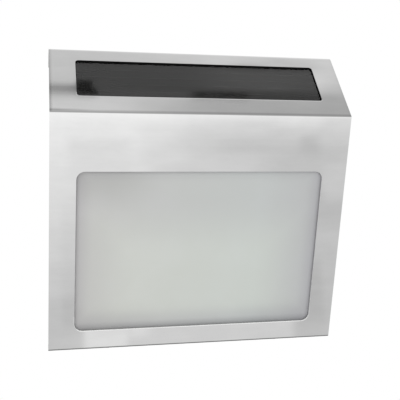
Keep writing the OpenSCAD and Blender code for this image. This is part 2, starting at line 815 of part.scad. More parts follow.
// Slide switch: a folded steel can on a base, with the slider between them
module switch_can() {
    color("silver") lifted() difference() {
        block(switch_x, can_size[0], [can_out, board_out - 0.8], [board_z - can_size[2] / 2, board_z + can_size[2] / 2]);
        block(switch_x, can_size[0] - 2 * can_t, [can_out + can_t, board_out],
            [board_z - can_size[2] / 2 + can_t, board_z + can_size[2] / 2 - can_t]);
        block(switch_x, knob_w + switch_travel + 2 * knob_slot_play, [can_out - nudge, can_out + can_t + nudge],
            [board_z - knob_h / 2 - knob_slot_play, board_z + knob_h / 2 + knob_slot_play]);
    }
}

module switch_base() {
    color("#7a4a22") lifted() {
        block(switch_x, can_size[0], [board_out - 0.8, board_out], [board_z - can_size[2] / 2, board_z + can_size[2] / 2]);
    }
}

// The knob rests at the off end of its slot
module switch_slider() {
    x = switch_x - switch_travel / 2;
    color("#111111") lifted() {
        block(x, slider_block[0], [can_out + can_t + slider_play, can_out + can_t + slider_play + slider_block[1]],
            [board_z - slider_block[2] / 2, board_z + slider_block[2] / 2]);
        difference() {
            block(x, knob_w, [knob_drop, can_out + can_t + slider_play + 0.2], [board_z - knob_h / 2, board_z + knob_h / 2]);
            for (i = [-1, 0, 1])
                block(x + i * 0.9, 0.35, [knob_drop - nudge, knob_drop + 0.35], [board_z - knob_h, board_z + knob_h]);
        }
    }
}

module along_x(x) {
    translate([x, -battery_out, battery_h]) rotate([0, 90, 0]) children();
}

module battery_cell() {
    color("silver") lifted() along_x(nub_tip_x) {
        cylinder(r = nub_r, h = nub_len + 0.2);
        translate([0, 0, nub_len]) cylinder(r = can_r, h = battery_len - nub_len);
    }
}

module battery_sleeve() {
    color("#2f8f4e") lifted() along_x(nub_tip_x + nub_len - 0.3) difference() {
        cylinder(r = battery_r, h = battery_len - nub_len + 0.2);
        translate([0, 0, 0.3 - touch_gap]) cylinder(r = battery_r - sleeve_t, h = battery_len);
        translate([0, 0, -nudge]) cylinder(r = nub_r + 2, h = 2);
    }
}

// Swept tube along points, each ring turned square to the path
function unit(v) = v / norm(v);
function heading(p, i) =
    i == 0 ? unit(p[1] - p[0])
    : i == len(p) - 1 ? unit(p[i] - p[i - 1])
    : unit(p[i + 1] - p[i - 1]);
function ring_at(c, t, r, sides, up) =
    let (a = unit(cross(t, up)), b = cross(a, t))
    [for (k = [0 : sides - 1]) c + r * (cos(360 * k / sides) * a + sin(360 * k / sides) * b)];

module tube(p, r, sides, up) {
    n = len(p);
    points = [for (i = [0 : n - 1]) each ring_at(p[i], heading(p, i), r, sides, up)];
    skin = [for (i = [0 : n - 2], k = [0 : sides - 1])
        let (a = i * sides + k, b = i * sides + (k + 1) % sides)
        each [[a, b, b + sides], [a, b + sides, a + sides]]];
    first = [for (k = [1 : sides - 2]) [0, k + 1, k]];
    last = [for (k = [1 : sides - 2]) [(n - 1) * sides, (n - 1) * sides + k, (n - 1) * sides + k + 1]];
    polyhedron(points, concat(skin, first, last));
}

// A smooth path through hand-placed points
function spline(a, b, c, d, t) =
    0.5 * (2 * b + (c - a) * t + (2 * a - 5 * b + 4 * c - d) * t * t + (3 * b - a - 3 * c + d) * t * t * t);
function smooth(p, steps) =
    let (n = len(p))
    [for (i = [0 : n - 2], k = [0 : steps - 1])
        spline(p[max(i - 1, 0)], p[i], p[i + 1], p[min(i + 2, n - 1)], k / steps),
     p[n - 1]];

module wire(route) {
    tube(smooth(route, wire_steps), wire_r, wire_sides, [1, 0.05, 0.3]);
}

module wire_pair(route) {
    for (side = [-1, 1])
        wire([for (p = route) p + [side * wire_spread, 0, 0]]);
}

module solar_leads() {
    color("#b02020") lifted() wire_pair(solar_route);
}

module led_leads() {
    color("#b02020") lifted() wire_pair(led_route);
}

// Conical spring between the negative contact and the battery
module battery_spring() {
    start = negative_x - contact_t - touch_gap - spring_wire / 2;
    end = nub_tip_x + battery_len + 0.3 + spring_wire / 2;
    steps = spring_turns * 14;
    coil = [for (i = [0 : steps])
        let (t = i / steps, a = 360 * spring_turns * t, r = 5 - 2.6 * t,
            climb = min(1, max(0, (t * spring_turns - 0.5) / (spring_turns - 1))))
        [start + (end - start) * climb, -battery_out + r * cos(a), battery_h + r * sin(a)]];
    color("silver") lifted() tube(coil, spring_wire / 2, 6, [1, 0, 0]);
}

module contact(x) {
    block(x, contact_t, [battery_out - 5.5, bay_floor - touch_gap],
        [battery_h - contact_w / 2, battery_h + contact_w / 2]);
    block(x, contact_t, [bay_floor - 1, bay_floor + bay_t + 2.5], [battery_h - tab_w / 2, battery_h + tab_w / 2]);
}

module positive_contact() {
    color("silver") lifted() contact(positive_x + contact_t / 2);
}

module negative_contact() {
    color("silver") lifted() contact(negative_x - contact_t / 2);
}

module battery_leads() {
    color("#202020") lifted() {
        wire(negative_route);
        wire(positive_route);
    }
}

// The door swings on a barrel along its upper edge, with a pin at each end
module battery_door() {
    color("#2c2c2e") lifted() difference() {
        union() {
            block(0, door_len, [door_drop, door_drop + door_t], [door_low, hinge_z]);
            translate([0, -hinge_out, hinge_z]) rotate([0, 90, 0]) {
                cylinder(r = barrel_r, h = door_len, center = true);
                cylinder(r = pin_r, h = bay_len + 2 * pin_len, center = true);
            }
            for (x = [-1, 1])
                block(x * snap_x, snap_w, [door_drop + door_t - touch_gap, door_drop + door_t + snap_reach],
                    [bay_low + snap_gap, bay_low + snap_gap + snap_t]);
        }
        for (i = [0 : 3])
            block(0, 16 - 2 * i, [0, door_drop + 0.4], [door_low + 2 + i * 1.6, door_low + 2.7 + i * 1.6]);
    }
}

module battery_pad() {
    color("#303030") lifted()
        block(0, pad_w, [door_drop + door_t + 0.02, battery_out - battery_r - 0.25],
            [battery_h - pad_h / 2, battery_h + pad_h / 2]);
}

steel_cover();
front_housing();
back_cover();
back_screws();
flange_screws();
number_panel();
number_panel_seal();
reflector();
solar_glass();
solar_film();
solar_backing();
solar_tape();
solar_leads();
led_board();
leds();
led_leads();
main_board();
board_screws();
driver_chip();
inductor();
capacitor();
switch_can();
switch_base();
switch_slider();
battery_cell();
battery_sleeve();
battery_spring();
positive_contact();
negative_contact();
battery_leads();
battery_door();
battery_pad();
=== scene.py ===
import math

import bmesh
import bpy
from mathutils import Matrix, Vector


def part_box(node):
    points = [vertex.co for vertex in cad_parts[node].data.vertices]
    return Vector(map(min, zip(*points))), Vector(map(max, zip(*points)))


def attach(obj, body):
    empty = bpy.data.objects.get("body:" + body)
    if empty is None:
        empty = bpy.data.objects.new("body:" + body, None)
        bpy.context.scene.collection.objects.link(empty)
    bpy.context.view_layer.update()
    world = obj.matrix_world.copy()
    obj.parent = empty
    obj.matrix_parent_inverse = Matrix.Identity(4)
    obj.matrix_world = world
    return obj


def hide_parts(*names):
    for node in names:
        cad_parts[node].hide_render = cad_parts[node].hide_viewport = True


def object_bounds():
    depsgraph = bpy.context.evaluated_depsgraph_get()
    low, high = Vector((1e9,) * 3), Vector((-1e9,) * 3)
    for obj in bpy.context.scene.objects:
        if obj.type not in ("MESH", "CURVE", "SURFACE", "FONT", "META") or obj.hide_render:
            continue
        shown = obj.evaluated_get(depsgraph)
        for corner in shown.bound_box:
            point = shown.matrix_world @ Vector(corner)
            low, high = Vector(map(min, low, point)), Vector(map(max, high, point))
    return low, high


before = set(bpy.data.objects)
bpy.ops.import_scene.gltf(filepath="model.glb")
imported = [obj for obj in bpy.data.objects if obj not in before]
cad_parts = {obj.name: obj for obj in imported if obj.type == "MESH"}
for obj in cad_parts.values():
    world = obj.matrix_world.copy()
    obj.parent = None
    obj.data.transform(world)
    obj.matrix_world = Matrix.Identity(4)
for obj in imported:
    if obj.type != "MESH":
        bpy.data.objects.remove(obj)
cad_low, cad_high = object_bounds()

MM = 0.001

# Sizes of the bent sheet, which every slanted piece lies along
FOLD = Vector((0.0, -45.5 * MM, -7.5 * MM))
FOOT = Vector((0.0, -14.0 * MM, -167.0 * MM))
HOOK_RADIUS = 4 * MM
TOP_EDGE = 35 * MM
SIDE = 100 * MM
WINDOW_WIDTH = 166.2 * MM
WINDOW_DROP = 38.3 * MM
WINDOW_FOOT = 13.6 * MM
WINDOW_HEIGHT = (FOLD - FOOT).length - WINDOW_DROP - WINDOW_FOOT
WINDOW_CENTRE_DROP = WINDOW_DROP + WINDOW_HEIGHT / 2
WINDOW_CORNER = 5.5 * MM
SOLAR_WIDTH = 165.8 * MM
SOLAR_RISE = 14.6 * MM
SOLAR_BACK = 8.6 * MM
SOLAR_CORNER = 2 * MM

# What the tools left on the sheet, and the painted shade on it: how wide and deep the punch broke the
# lower rims of both openings, how wide the darker line along the slope's sides is, the two bands of
# painted shade over the fold, each by its lower and upper edge and its softness, the stretch in which
# the second one sets in towards the left end, and how far the painted shade at the foot's bend reaches
# up and back
BROKEN_EDGE = 0.45 * MM
BROKEN_DEPTH = 0.075 * MM
SIDE_LINE_WIDTH = 2.4 * MM
FOLD_BAND = (0.2 * MM, 1.5 * MM, 0.6 * MM)
END_BAND = (0.9 * MM, 2.2 * MM, 0.5 * MM)
END_STRETCH = (-72 * MM, -95 * MM)
FOOT_UP = (1.5 * MM, 0.6 * MM)
FOOT_BACK = (2.4 * MM, 1.2 * MM)

# The cells on the underside of the cover glass: how deep the glass ends, and how the film is cut
GLASS_TOP = 1.2 * MM
GLASS_DEPTH = 2.6 * MM
BONDED = 0.03 * MM
CELL_COUNT = 5
CELL_THICKNESS = 0.16 * MM
CELL_LINE = 0.16 * MM
CELL_MARGIN = 0.2 * MM
CELL_BEVEL = 0.03 * MM

# The black bead round the glass, which seals it and climbs the sheet's cut edge, and also serves as
# painted
# shade in its recess: how far each point of its section reaches inwards, its height above the glass,
# and how much of the shift it takes; the shift widens the painted shade above and at the right
BEAD_AND_SHADE_PROFILE = (
    (-0.6 * MM, 0.01 * MM, 0.0),
    (-0.6 * MM, 0.38 * MM, 0.0),
    (0.02 * MM, 0.38 * MM, 0.0),
    (0.03 * MM, 1.12 * MM, 0.0),
    (0.12 * MM, 1.05 * MM, 0.0),
    (0.26 * MM, 0.50 * MM, 0.4),
    (0.42 * MM, 0.20 * MM, 0.8),
    (0.52 * MM, 0.01 * MM, 1.0),
)
BEAD_SHADE_SHIFT = (-0.15 * MM, -0.75 * MM)
CORNER_STEPS = 8

# Marks printed on the back cover: where they stand, how large they are, and how thick the ink is
SWITCH_MIDDLE = Vector((62 * MM, 0.0, -21 * MM))
SWITCH_MARK_REACH = 9.6 * MM
POLE_MARK_X = 36 * MM
MARK_SIZE = 3.2 * MM
MARK_LINE = 0.5 * MM
INK = 0.02 * MM

# Weights that put the points and faces of a piece in the same order each run
KEY_WEIGHTS = Vector((1.0, 0.618, 0.271))

# The diodes and the phosphor on them
DIODE_COUNT = 6
DIODE_PITCH = 20 * MM
DOME_RADIUS = 1.1 * MM
DOME_FLATNESS = 0.22

# Shades on the number panel: how far each stands outside the opening, how far up it is set, its reach,
# and what it keeps
PANEL_SHADES = (
    (0.0, -18.0 * MM, 42 * MM, (0.905, 0.890, 0.925, 1.0)),
    (0.0, 4.0 * MM, 12 * MM, (0.885, 0.875, 0.90, 1.0)),
    (1.5 * MM, 2.7 * MM, 5 * MM, (0.76, 0.76, 0.77, 1.0)),
    (0.8 * MM, 1.4 * MM, 2 * MM, (0.86, 0.86, 0.86, 1.0)),
)

# Stretches in which the number panel's colour changes: from warm to cool towards the right, and painted
# shade at the far right, towards the top and the left, and towards the foot, away from its middle
PANEL_RIGHT = (-80 * MM, 80 * MM)
PANEL_FAR_RIGHT = (40 * MM, 83 * MM)
PANEL_TOP = (30 * MM, 2 * MM)
PANEL_LEFT = (-18 * MM, -66 * MM)
PANEL_FOOT = (22 * MM, 4 * MM)
PANEL_SIDES = (26 * MM, 48 * MM)

# The stretch in which a painted dark reflection deepens on the solar film towards the left
FILM_LEFT = (20 * MM, -80 * MM)

# How deep a moulded texture stands, from the usual one to the finest
TEXTURED = 0.04 * MM
SATIN = 0.02 * MM
SMOOTH = 0.01 * MM

# The camera, as fitted to the corners of the sheet and of its two openings
FRAME_PIXELS = 400
FOCAL_PIXELS = 721.9
AXIS_ROW = 167
SENSOR_WIDTH = 36.0
CAMERA_PLACE = Vector((-106.7 * MM, -500.3 * MM, -16.2 * MM))
CAMERA_YAW = math.radians(12.652)
CAMERA_PITCH = math.radians(3.113)
CAMERA_ROLL = math.radians(0.745)

# Directions up the front and up the slope, and the ways that they face
front_up = (FOLD - FOOT).normalized()
front_out = Vector((0.0, -front_up.z, front_up.y))
hook_centre = Vector((0.0, -HOOK_RADIUS, TOP_EDGE - HOOK_RADIUS))
to_hook = hook_centre - FOLD
slope_angle = math.atan2(to_hook.y, to_hook.z) - math.asin(HOOK_RADIUS / to_hook.length)
slope_length = math.sqrt(to_hook.length_squared - HOOK_RADIUS**2)
solar_height = slope_length - SOLAR_RISE - SOLAR_BACK
solar_centre_rise = SOLAR_RISE + solar_height / 2
slope_up = Vector((0.0, math.sin(slope_angle), math.cos(slope_angle)))
slope_out = Vector((0.0, -slope_up.z, slope_up.y))


def on_slope(x, up, out=0.0):
    return FOLD + Vector((x, 0, 0)) + slope_up * up + slope_out * out


# How high the middles of both openings stand, and how far the window rises above its own
window_middle = (FOLD - front_up * WINDOW_CENTRE_DROP).z
window_rise = WINDOW_HEIGHT / 2 * front_up.z
solar_middle = on_slope(0, solar_centre_rise).z


# Small helpers that place and join shader nodes
def feed(tree, socket, value):
    if isinstance(value, bpy.types.NodeSocket):
        tree.links.new(value, socket)
    else:
        socket.default_value = value


def place(tree, kind, inputs=None, **settings):
    made = tree.nodes.new("ShaderNode" + kind)
    for name, value in settings.items():
        setattr(made, name, value)
    for name, value in (inputs or {}).items():
        feed(tree, made.inputs[name], value)
    return made


def sum_up(tree, operation, *values, clamp=False):
    made = place(tree, "Math", operation=operation, use_clamp=clamp)
    for socket, value in zip(made.inputs, values):
        feed(tree, socket, value)
    return made.outputs[0]


def spread(tree, value, low, high, to_low=0.0, to_high=1.0, smooth=False):
    made = place(
        tree,
        "MapRange",
        {"Value": value, "From Min": low, "From Max": high, "To Min": to_low, "To Max": to_high},
        interpolation_type="SMOOTHSTEP" if smooth else "LINEAR",
    )
    return made.outputs["Result"]


def inside_band(tree, value, low, high, soft):
    rising = spread(tree, value, low - soft, low + soft, smooth=True)
    falling = spread(tree, value, high - soft, high + soft, 1.0, 0.0, smooth=True)
    return sum_up(tree, "MULTIPLY", rising, falling)


def rgb(red, green, blue):
    return (red, green, blue, 1.0)


def grey(level):
    return rgb(level, level, level)


def blend_colours(tree, factor, first, second, blend_type="MIX"):
    made = place(tree, "Mix", data_type="RGBA", blend_type=blend_type)
    feed(tree, made.inputs[0], factor)
    feed(tree, made.inputs[6], first)
    feed(tree, made.inputs[7], second)
    return made.outputs[2]


def multiply_colours(tree, first, second):
    return blend_colours(tree, 1.0, first, second, "MULTIPLY")


def darken(tree, mask, colour, kept):
    """Multiplies a colour by what is kept of it where the mask is 1."""
    return blend_colours(tree, mask, colour, grey(kept), "MULTIPLY")


def noise(tree, vector, scale, detail=3.0, roughness=0.5):
    given = {"Vector": vector, "Scale": scale, "Detail": detail, "Roughness": roughness}
    return place(tree, "TexNoise", given).outputs["Fac"]


def axes(tree, vector):
    return place(tree, "SeparateXYZ", {"Vector": vector}).outputs


def stretch_by(tree, vector, factors):
    made = place(tree, "VectorMath", operation="MULTIPLY")
    feed(tree, made.inputs[0], vector)
    feed(tree, made.inputs[1], factors)
    return made.outputs[0]


def own_place(tree):
    """Where a point lies in the object's own coordinates."""
    return place(tree, "TexCoord").outputs["Object"]


def turned_place(tree, stretch=(1, 1, 1), turn=(0, 0, 0)):
    given = {"Vector": own_place(tree), "Scale": stretch, "Rotation": turn}
    return place(tree, "Mapping", given).outputs["Vector"]


# Effects that several materials share, each a group of nodes
SOCKETS = {"value": "NodeSocketFloat", "colour": "NodeSocketColor"}


class Effect:
    """One group of nodes, with what it is given and what it gives."""

    def __init__(self, name, inputs, outputs):
        self.tree = bpy.data.node_groups.new(name, "ShaderNodeTree")
        sockets = self.tree.interface
        for label, (kind, default) in inputs.items():
            socket = sockets.new_socket(name=label, in_out="INPUT", socket_type=SOCKETS[kind])
            socket.default_value = default
        for label, kind in outputs.items():
            sockets.new_socket(name=label, in_out="OUTPUT", socket_type=SOCKETS[kind])
        self.given = self.tree.nodes.new("NodeGroupInput").outputs
        self.result = self.tree.nodes.new("NodeGroupOutput").inputs

    def give(self, label, value):
        feed(self.tree, self.result[label], value)


def make_rolled_grain():
    """Fine parallel lines of brushed metal along X, with streaks of a wider scale."""
    effect = Effect(
        "rolled_grain",
        {"Length": ("value", 14.0), "Fineness": ("value", 2600.0), "Streaks": ("value", 0.35)},
        {"Grain": "value", "Height": "value"},
    )
    tree, given = effect.tree, effect.given
    fineness = given["Fineness"]
    lines = place(tree, "CombineXYZ", {"X": given["Length"], "Y": fineness, "Z": fineness})
    along = stretch_by(tree, own_place(tree), lines.outputs[0])
    fine = noise(tree, along, 1.0, 4.0, 0.6)
    wide = noise(tree, stretch_by(tree, along, (0.35, 0.06, 0.06)), 1.0, 3.0, 0.55)
    mixed = place(tree, "Mix", data_type="FLOAT")
    feed(tree, mixed.inputs[0], given["Streaks"])
    feed(tree, mixed.inputs[2], fine)
    feed(tree, mixed.inputs[3], wide)
    effect.give("Grain", mixed.outputs[0])
    effect.give("Height", fine)
    return effect.tree


def make_cloudy_tone():
    """Slow drifts between two colours, for handling marks and uneven finish."""
    effect = Effect(
        "cloudy_tone",
        {
            "First": ("colour", grey(0.5)),
            "Second": ("colour", grey(0.6)),
            "Scale": ("value", 30.0),
            "Contrast": ("value", 0.2),
        },
        {"Colour": "colour", "Mask": "value"},
    )
    tree, given = effect.tree, effect.given
    drift = noise(tree, own_place(tree), given["Scale"], 4.0, 0.55)
    low = sum_up(tree, "SUBTRACT", 0.5, given["Contrast"])
    high = sum_up(tree, "ADD", 0.5, given["Contrast"])
    mask = spread(tree, drift, low, high, smooth=True)
    effect.give("Colour", blend_colours(tree, mask, given["First"], given["Second"]))
    effect.give("Mask", mask)
    return effect.tree


def make_moulded_texture():
    """The fine leathery spark-eroded texture of moulded plastic."""
    effect = Effect(
        "moulded_texture",
        {"Scale": ("value", 1800.0), "Softness": ("value", 0.5)},
        {"Height": "value", "Sheen": "value"},
    )
    tree, given = effect.tree, effect.given
    where = own_place(tree)
    cells = place(tree, "TexVoronoi", {"Vector": where, "Scale": given["Scale"]}, feature="SMOOTH_F1")
    feed(tree, cells.inputs["Smoothness"], given["Softness"])
    speckle = noise(tree, where, given["Scale"], 2.0, 0.6)
    effect.give("Height", sum_up(tree, "MULTIPLY_ADD", speckle, 0.6, cells.outputs["Distance"]))
    wide_scale = sum_up(tree, "MULTIPLY", given["Scale"], 0.03)
    effect.give("Sheen", noise(tree, where, wide_scale, 3.0, 0.5))
    return effect.tree


def make_fallen_dust():
    """Dust that settles on what faces up, thinner where it was wiped."""
    effect = Effect("fallen_dust", {"Amount": ("value", 0.3)}, {"Mask": "value"})
    tree, given = effect.tree, effect.given
    up = axes(tree, place(tree, "NewGeometry").outputs["Normal"])["Z"]
    facing = spread(tree, up, 0.1, 0.9, smooth=True)
    where = own_place(tree)
    patches = noise(tree, where, 45.0, 5.0, 0.62)
    specks = noise(tree, where, 900.0, 2.0, 0.5)
    thick = spread(tree, sum_up(tree, "MULTIPLY", patches, specks), 0.16, 0.42)
    held = sum_up(tree, "MULTIPLY", thick, facing)
    effect.give("Mask", sum_up(tree, "MULTIPLY", held, given["Amount"], clamp=True))
    return effect.tree


def make_hair_scratches():
    """A few long thin scratches in two directions."""
    effect = Effect("hair_scratches", {"Amount": ("value", 0.5)}, {"Mask": "value", "Height": "value"})
    tree, given = effect.tree, effect.given
    layers = []
    for turn, stretch in ((0.35, (25, 900, 900)), (-0.6, (35, 1100, 1100))):
        streak = noise(tree, turned_place(tree, stretch, (turn, turn, turn)), 1.0, 2.0, 0.4)
        layers.append(spread(tree, streak, 0.70, 0.78))
    most = sum_up(tree, "MAXIMUM", *layers)
    mask = sum_up(tree, "MULTIPLY", most, given["Amount"], clamp=True)
    effect.give("Mask", mask)
    effect.give("Height", sum_up(tree, "SUBTRACT", 1.0, mask))
    return effect.tree


def make_frame_shade():
    """The shade that a frame round a sunk panel leaves along the panel's edges."""
    effect = Effect(
        "frame_shade",
        {
            "Centre Z": ("value", 0.0),
            "Half Width": ("value", 0.05),
            "Half Height": ("value", 0.05),
            "Corner": ("value", 0.006),
            "Reach": ("value", 0.01),
            "Lean": ("value", 1.0),
        },
        {"Mask": "value"},
    )
    tree, given = effect.tree, effect.given
    where = axes(tree, own_place(tree))
    across = sum_up(tree, "ABSOLUTE", where["X"])
    rise = sum_up(tree, "SUBTRACT", where["Z"], given["Centre Z"])
    along = sum_up(tree, "ABSOLUTE", sum_up(tree, "DIVIDE", rise, given["Lean"]))
    past_x = sum_up(tree, "SUBTRACT", across, given["Half Width"])
    past_z = sum_up(tree, "SUBTRACT", along, given["Half Height"])
    beyond_x = sum_up(tree, "ADD", past_x, given["Corner"])
    beyond_z = sum_up(tree, "ADD", past_z, given["Corner"])
    out_x = sum_up(tree, "MAXIMUM", beyond_x, 0.0)
    out_z = sum_up(tree, "MAXIMUM", beyond_z, 0.0)
    square_x = sum_up(tree, "MULTIPLY", out_x, out_x)
    square_z = sum_up(tree, "MULTIPLY", out_z, out_z)
    outside = sum_up(tree, "SQRT", sum_up(tree, "ADD", square_x, square_z))
    inside = sum_up(tree, "MINIMUM", sum_up(tree, "MAXIMUM", beyond_x, beyond_z), 0.0)
    distance = sum_up(tree, "SUBTRACT", sum_up(tree, "ADD", outside, inside), given["Corner"])
    start = sum_up(tree, "MULTIPLY", given["Reach"], -1.0)
    effect.give("Mask", spread(tree, distance, start, 0.0, smooth=True))
    return effect.tree


EFFECTS = {
    "rolled_grain": make_rolled_grain(),
    "cloudy_tone": make_cloudy_tone(),
    "moulded_texture": make_moulded_texture(),
    "fallen_dust": make_fallen_dust(),
    "hair_scratches": make_hair_scratches(),
    "frame_shade": make_frame_shade(),
}


class Finish:
    """One material: its tree of nodes and the shader that they feed."""

    def __init__(self, name, **plain):
        self.material = bpy.data.materials.new(name)
        self.material.use_nodes = True
        self.tree = self.material.node_tree
        self.shader = self.tree.nodes["Principled BSDF"]
        for label, value in plain.items():
            self.shader.inputs[label.replace("_", " ")].default_value = value

    def effect(self, name, **values):
        made = self.tree.nodes.new("ShaderNodeGroup")
        made.node_tree = EFFECTS[name]
        for label, value in values.items():
            feed(self.tree, made.inputs[label.replace("_", " ")], value)
        return made.outputs

    def set(self, label, value):
        feed(self.tree, self.shader.inputs[label], value)

    def vary_roughness(self, grain, low, high):
        """Spreads the roughness over the middle of a grain's range."""
        self.set("Roughness", spread(self.tree, grain, 0.3, 0.7, low, high))

    def bumps(self, *layers):
        """Each layer is a height, how far it stands in metres, and its strength."""
        normal = None
        for height, depth, strength in layers:
            made = place(self.tree, "Bump", {"Height": height, "Distance": depth, "Strength": strength})
            if normal:
                feed(self.tree, made.inputs["Normal"], normal)
            normal = made.outputs["Normal"]
        self.set("Normal", normal)


# What the tools left on the steel sheet, a darker line along its slope's sides, and the painted shade
# on it
def faces_along(tree, way):
    """1 where a face looks along the given way."""
    turned = place(tree, "VectorMath", operation="DOT_PRODUCT")
    feed(tree, turned.inputs[0], place(tree, "NewGeometry").outputs["True Normal"])
    feed(tree, turned.inputs[1], way)
    return spread(tree, turned.outputs["Value"], 0.9, 0.97)


def sheared_edges(tree):
    """Where the sheet was cut: its sides and the rim of the window, told by the way they face."""
    sideways = axes(tree, place(tree, "NewGeometry").outputs["True Normal"])["X"]
    edges = spread(tree, sum_up(tree, "ABSOLUTE", sideways), 0.25, 0.4)
    facing = sum_up(tree, "MAXIMUM", faces_along(tree, front_up), faces_along(tree, -front_up))
    height = axes(tree, own_place(tree))["Z"]
    near = sum_up(tree, "COMPARE", height, window_middle, window_rise + MM)
    return sum_up(tree, "MAXIMUM", edges, sum_up(tree, "MULTIPLY", facing, near))


def broken_rims(finish, where):
    """The height of the sheet where the punch drew it in along the lower rims of both openings."""
    tree = finish.tree
    openings = (
        (front_out, window_middle, WINDOW_WIDTH, WINDOW_HEIGHT, WINDOW_CORNER, front_up.z),
        (slope_out, solar_middle, SOLAR_WIDTH, solar_height, SOLAR_CORNER, slope_up.z),
    )
    height = 1.0
    for way, middle, width, tall, corner, lean in openings:
        outside = finish.effect(
            "frame_shade",
            Centre_Z=middle,
            Half_Width=width / 2 + BROKEN_EDGE,
            Half_Height=tall / 2 + BROKEN_EDGE,
            Corner=corner + BROKEN_EDGE,
            Reach=BROKEN_EDGE,
            Lean=lean,
        )
        drawn_in = sum_up(tree, "SUBTRACT", 1.0, outside["Mask"])
        on_face = sum_up(tree, "MULTIPLY", drawn_in, faces_along(tree, way))
        low_rim = spread(tree, where["Z"], middle - tall * lean * 0.4, middle - tall * lean * 0.5)
        height = sum_up(tree, "SUBTRACT", height, sum_up(tree, "MULTIPLY", on_face, low_rim))
    return height


def darker_slope_sides(tree, where):
    """A darker line along the slope's sides, strongest at the left and fading towards the top."""
    across = sum_up(tree, "ABSOLUTE", where["X"])
    near_side = spread(tree, across, SIDE - SIDE_LINE_WIDTH, SIDE, smooth=True)
    leftward = spread(tree, where["X"], SIDE, -SIDE, 0.15, 1.0)
    fading = spread(tree, where["Z"], FOLD.z, TOP_EDGE, 1.0, 0.5)
    above_fold = spread(tree, where["Z"], FOLD.z, FOLD.z + MM)
    mask = sum_up(tree, "MULTIPLY", sum_up(tree, "MULTIPLY", near_side, leftward), fading)
    return sum_up(tree, "MULTIPLY", mask, above_fold)


# A band of painted shade over the fold, by its lower and upper edge and its softness
def over_fold(tree, where, band):
    low, high, soft = band
    return inside_band(tree, where["Z"], FOLD.z + low, FOLD.z + high, soft)


def fold_end_shade(tree, where):
    """The second band of painted shade over the fold, which sets in towards the left end."""
    leftward = spread(tree, where["X"], *END_STRETCH)
    return sum_up(tree, "MULTIPLY", over_fold(tree, where, END_BAND), leftward)


def foot_bend(tree, where):
    """Where the sheet turns in at its foot, which gets painted shade."""
    low = spread(tree, where["Z"], *[FOOT.z + up for up in FOOT_UP], smooth=True)
    forward = spread(tree, where["Y"], *[FOOT.y + back for back in FOOT_BACK])
    return sum_up(tree, "MULTIPLY", low, forward)


def rolled_colour(finish, tone, grain, where):
    """The sheet's tone with its streaks and drawn-out clouds, painted shade over the fold and at the
    foot's bend, and a darker line along the slope's sides.
    """
    tree = finish.tree
    streaked = blend_colours(tree, grain, grey(0.94), grey(1.0))
    rolled = noise(tree, turned_place(tree, (34, 105, 105)), 1.0, 3.5, 0.55)
    clouds = blend_colours(tree, spread(tree, rolled, 0.3, 0.7), grey(0.972), grey(1.028))
    colour = multiply_colours(tree, multiply_colours(tree, tone, streaked), clouds)
    # Painted shade: the two bands over the fold and the turn at the foot
    colour = darken(tree, over_fold(tree, where, FOLD_BAND), colour, 0.75)
    colour = darken(tree, fold_end_shade(tree, where), colour, 0.72)
    colour = darken(tree, foot_bend(tree, where), colour, 0.58)
    return darken(tree, darker_slope_sides(tree, where), colour, 0.62)


# Finishes, one function each
def stainless_sheet():
    """Stainless sheet with a soft rolled finish along its width, rough and matt where it was cut, with
    a painted highlight in the near-white colour there.
    """
    finish = Finish("stainless_sheet", Anisotropic=0.1, Anisotropic_Rotation=0.25)
    tree = finish.tree
    grain = finish.effect("rolled_grain", Length=5.0, Fineness=1500.0, Streaks=0.6)
    tone = finish.effect(
        "cloudy_tone", First=grey(0.765), Second=rgb(0.795, 0.795, 0.792), Scale=20.0, Contrast=0.18
    )
    scratches = finish.effect("hair_scratches", Amount=0.2)
    where = axes(tree, own_place(tree))
    colour = rolled_colour(finish, tone["Colour"], grain["Grain"], where)
    cut = sheared_edges(tree)
    # Painted highlight: the cut faces get a near-white colour
    finish.set("Base Color", blend_colours(tree, cut, colour, rgb(0.95, 0.95, 0.94)))
    finish.set("Metallic", spread(tree, cut, 0.0, 1.0, 1.0, 0.25))
    rough = spread(tree, grain["Grain"], 0.3, 0.7, 0.032, 0.052)
    rough = sum_up(tree, "MULTIPLY_ADD", tone["Mask"], 0.01, rough)
    rough = sum_up(tree, "MULTIPLY_ADD", scratches["Mask"], 0.08, rough)
    finish.set("Roughness", sum_up(tree, "MULTIPLY_ADD", cut, 0.3, rough))
    waves = noise(tree, turned_place(tree, (7, 16, 16)), 1.0, 1.0, 0.4)
    finish.bumps(
        (waves, 0.15 * MM, 0.5),
        (broken_rims(finish, where), BROKEN_DEPTH, 1.0),
        (grain["Height"], 0.003 * MM, 0.4),
        (scratches["Height"], 0.01 * MM, 0.2),
    )
    return finish.material


def plated_metal(name, first, second, roughness=0.28):
    """Small plated parts: screws, contacts, springs and cans."""
    finish = Finish(name, Metallic=1.0)
    tree = finish.tree
    grain = finish.effect("rolled_grain", Length=200.0, Fineness=900.0, Streaks=0.3)
    tone = finish.effect("cloudy_tone", First=first, Second=second, Scale=260.0, Contrast=0.2)
    finish.set("Base Color", tone["Colour"])
    rough = spread(tree, grain["Grain"], 0.3, 0.7, roughness - 0.05, roughness + 0.08)
    finish.set("Roughness", sum_up(tree, "MULTIPLY_ADD", tone["Mask"], 0.08, rough))
    finish.bumps((grain["Height"], 0.02 * MM, 0.4))
    return finish.material


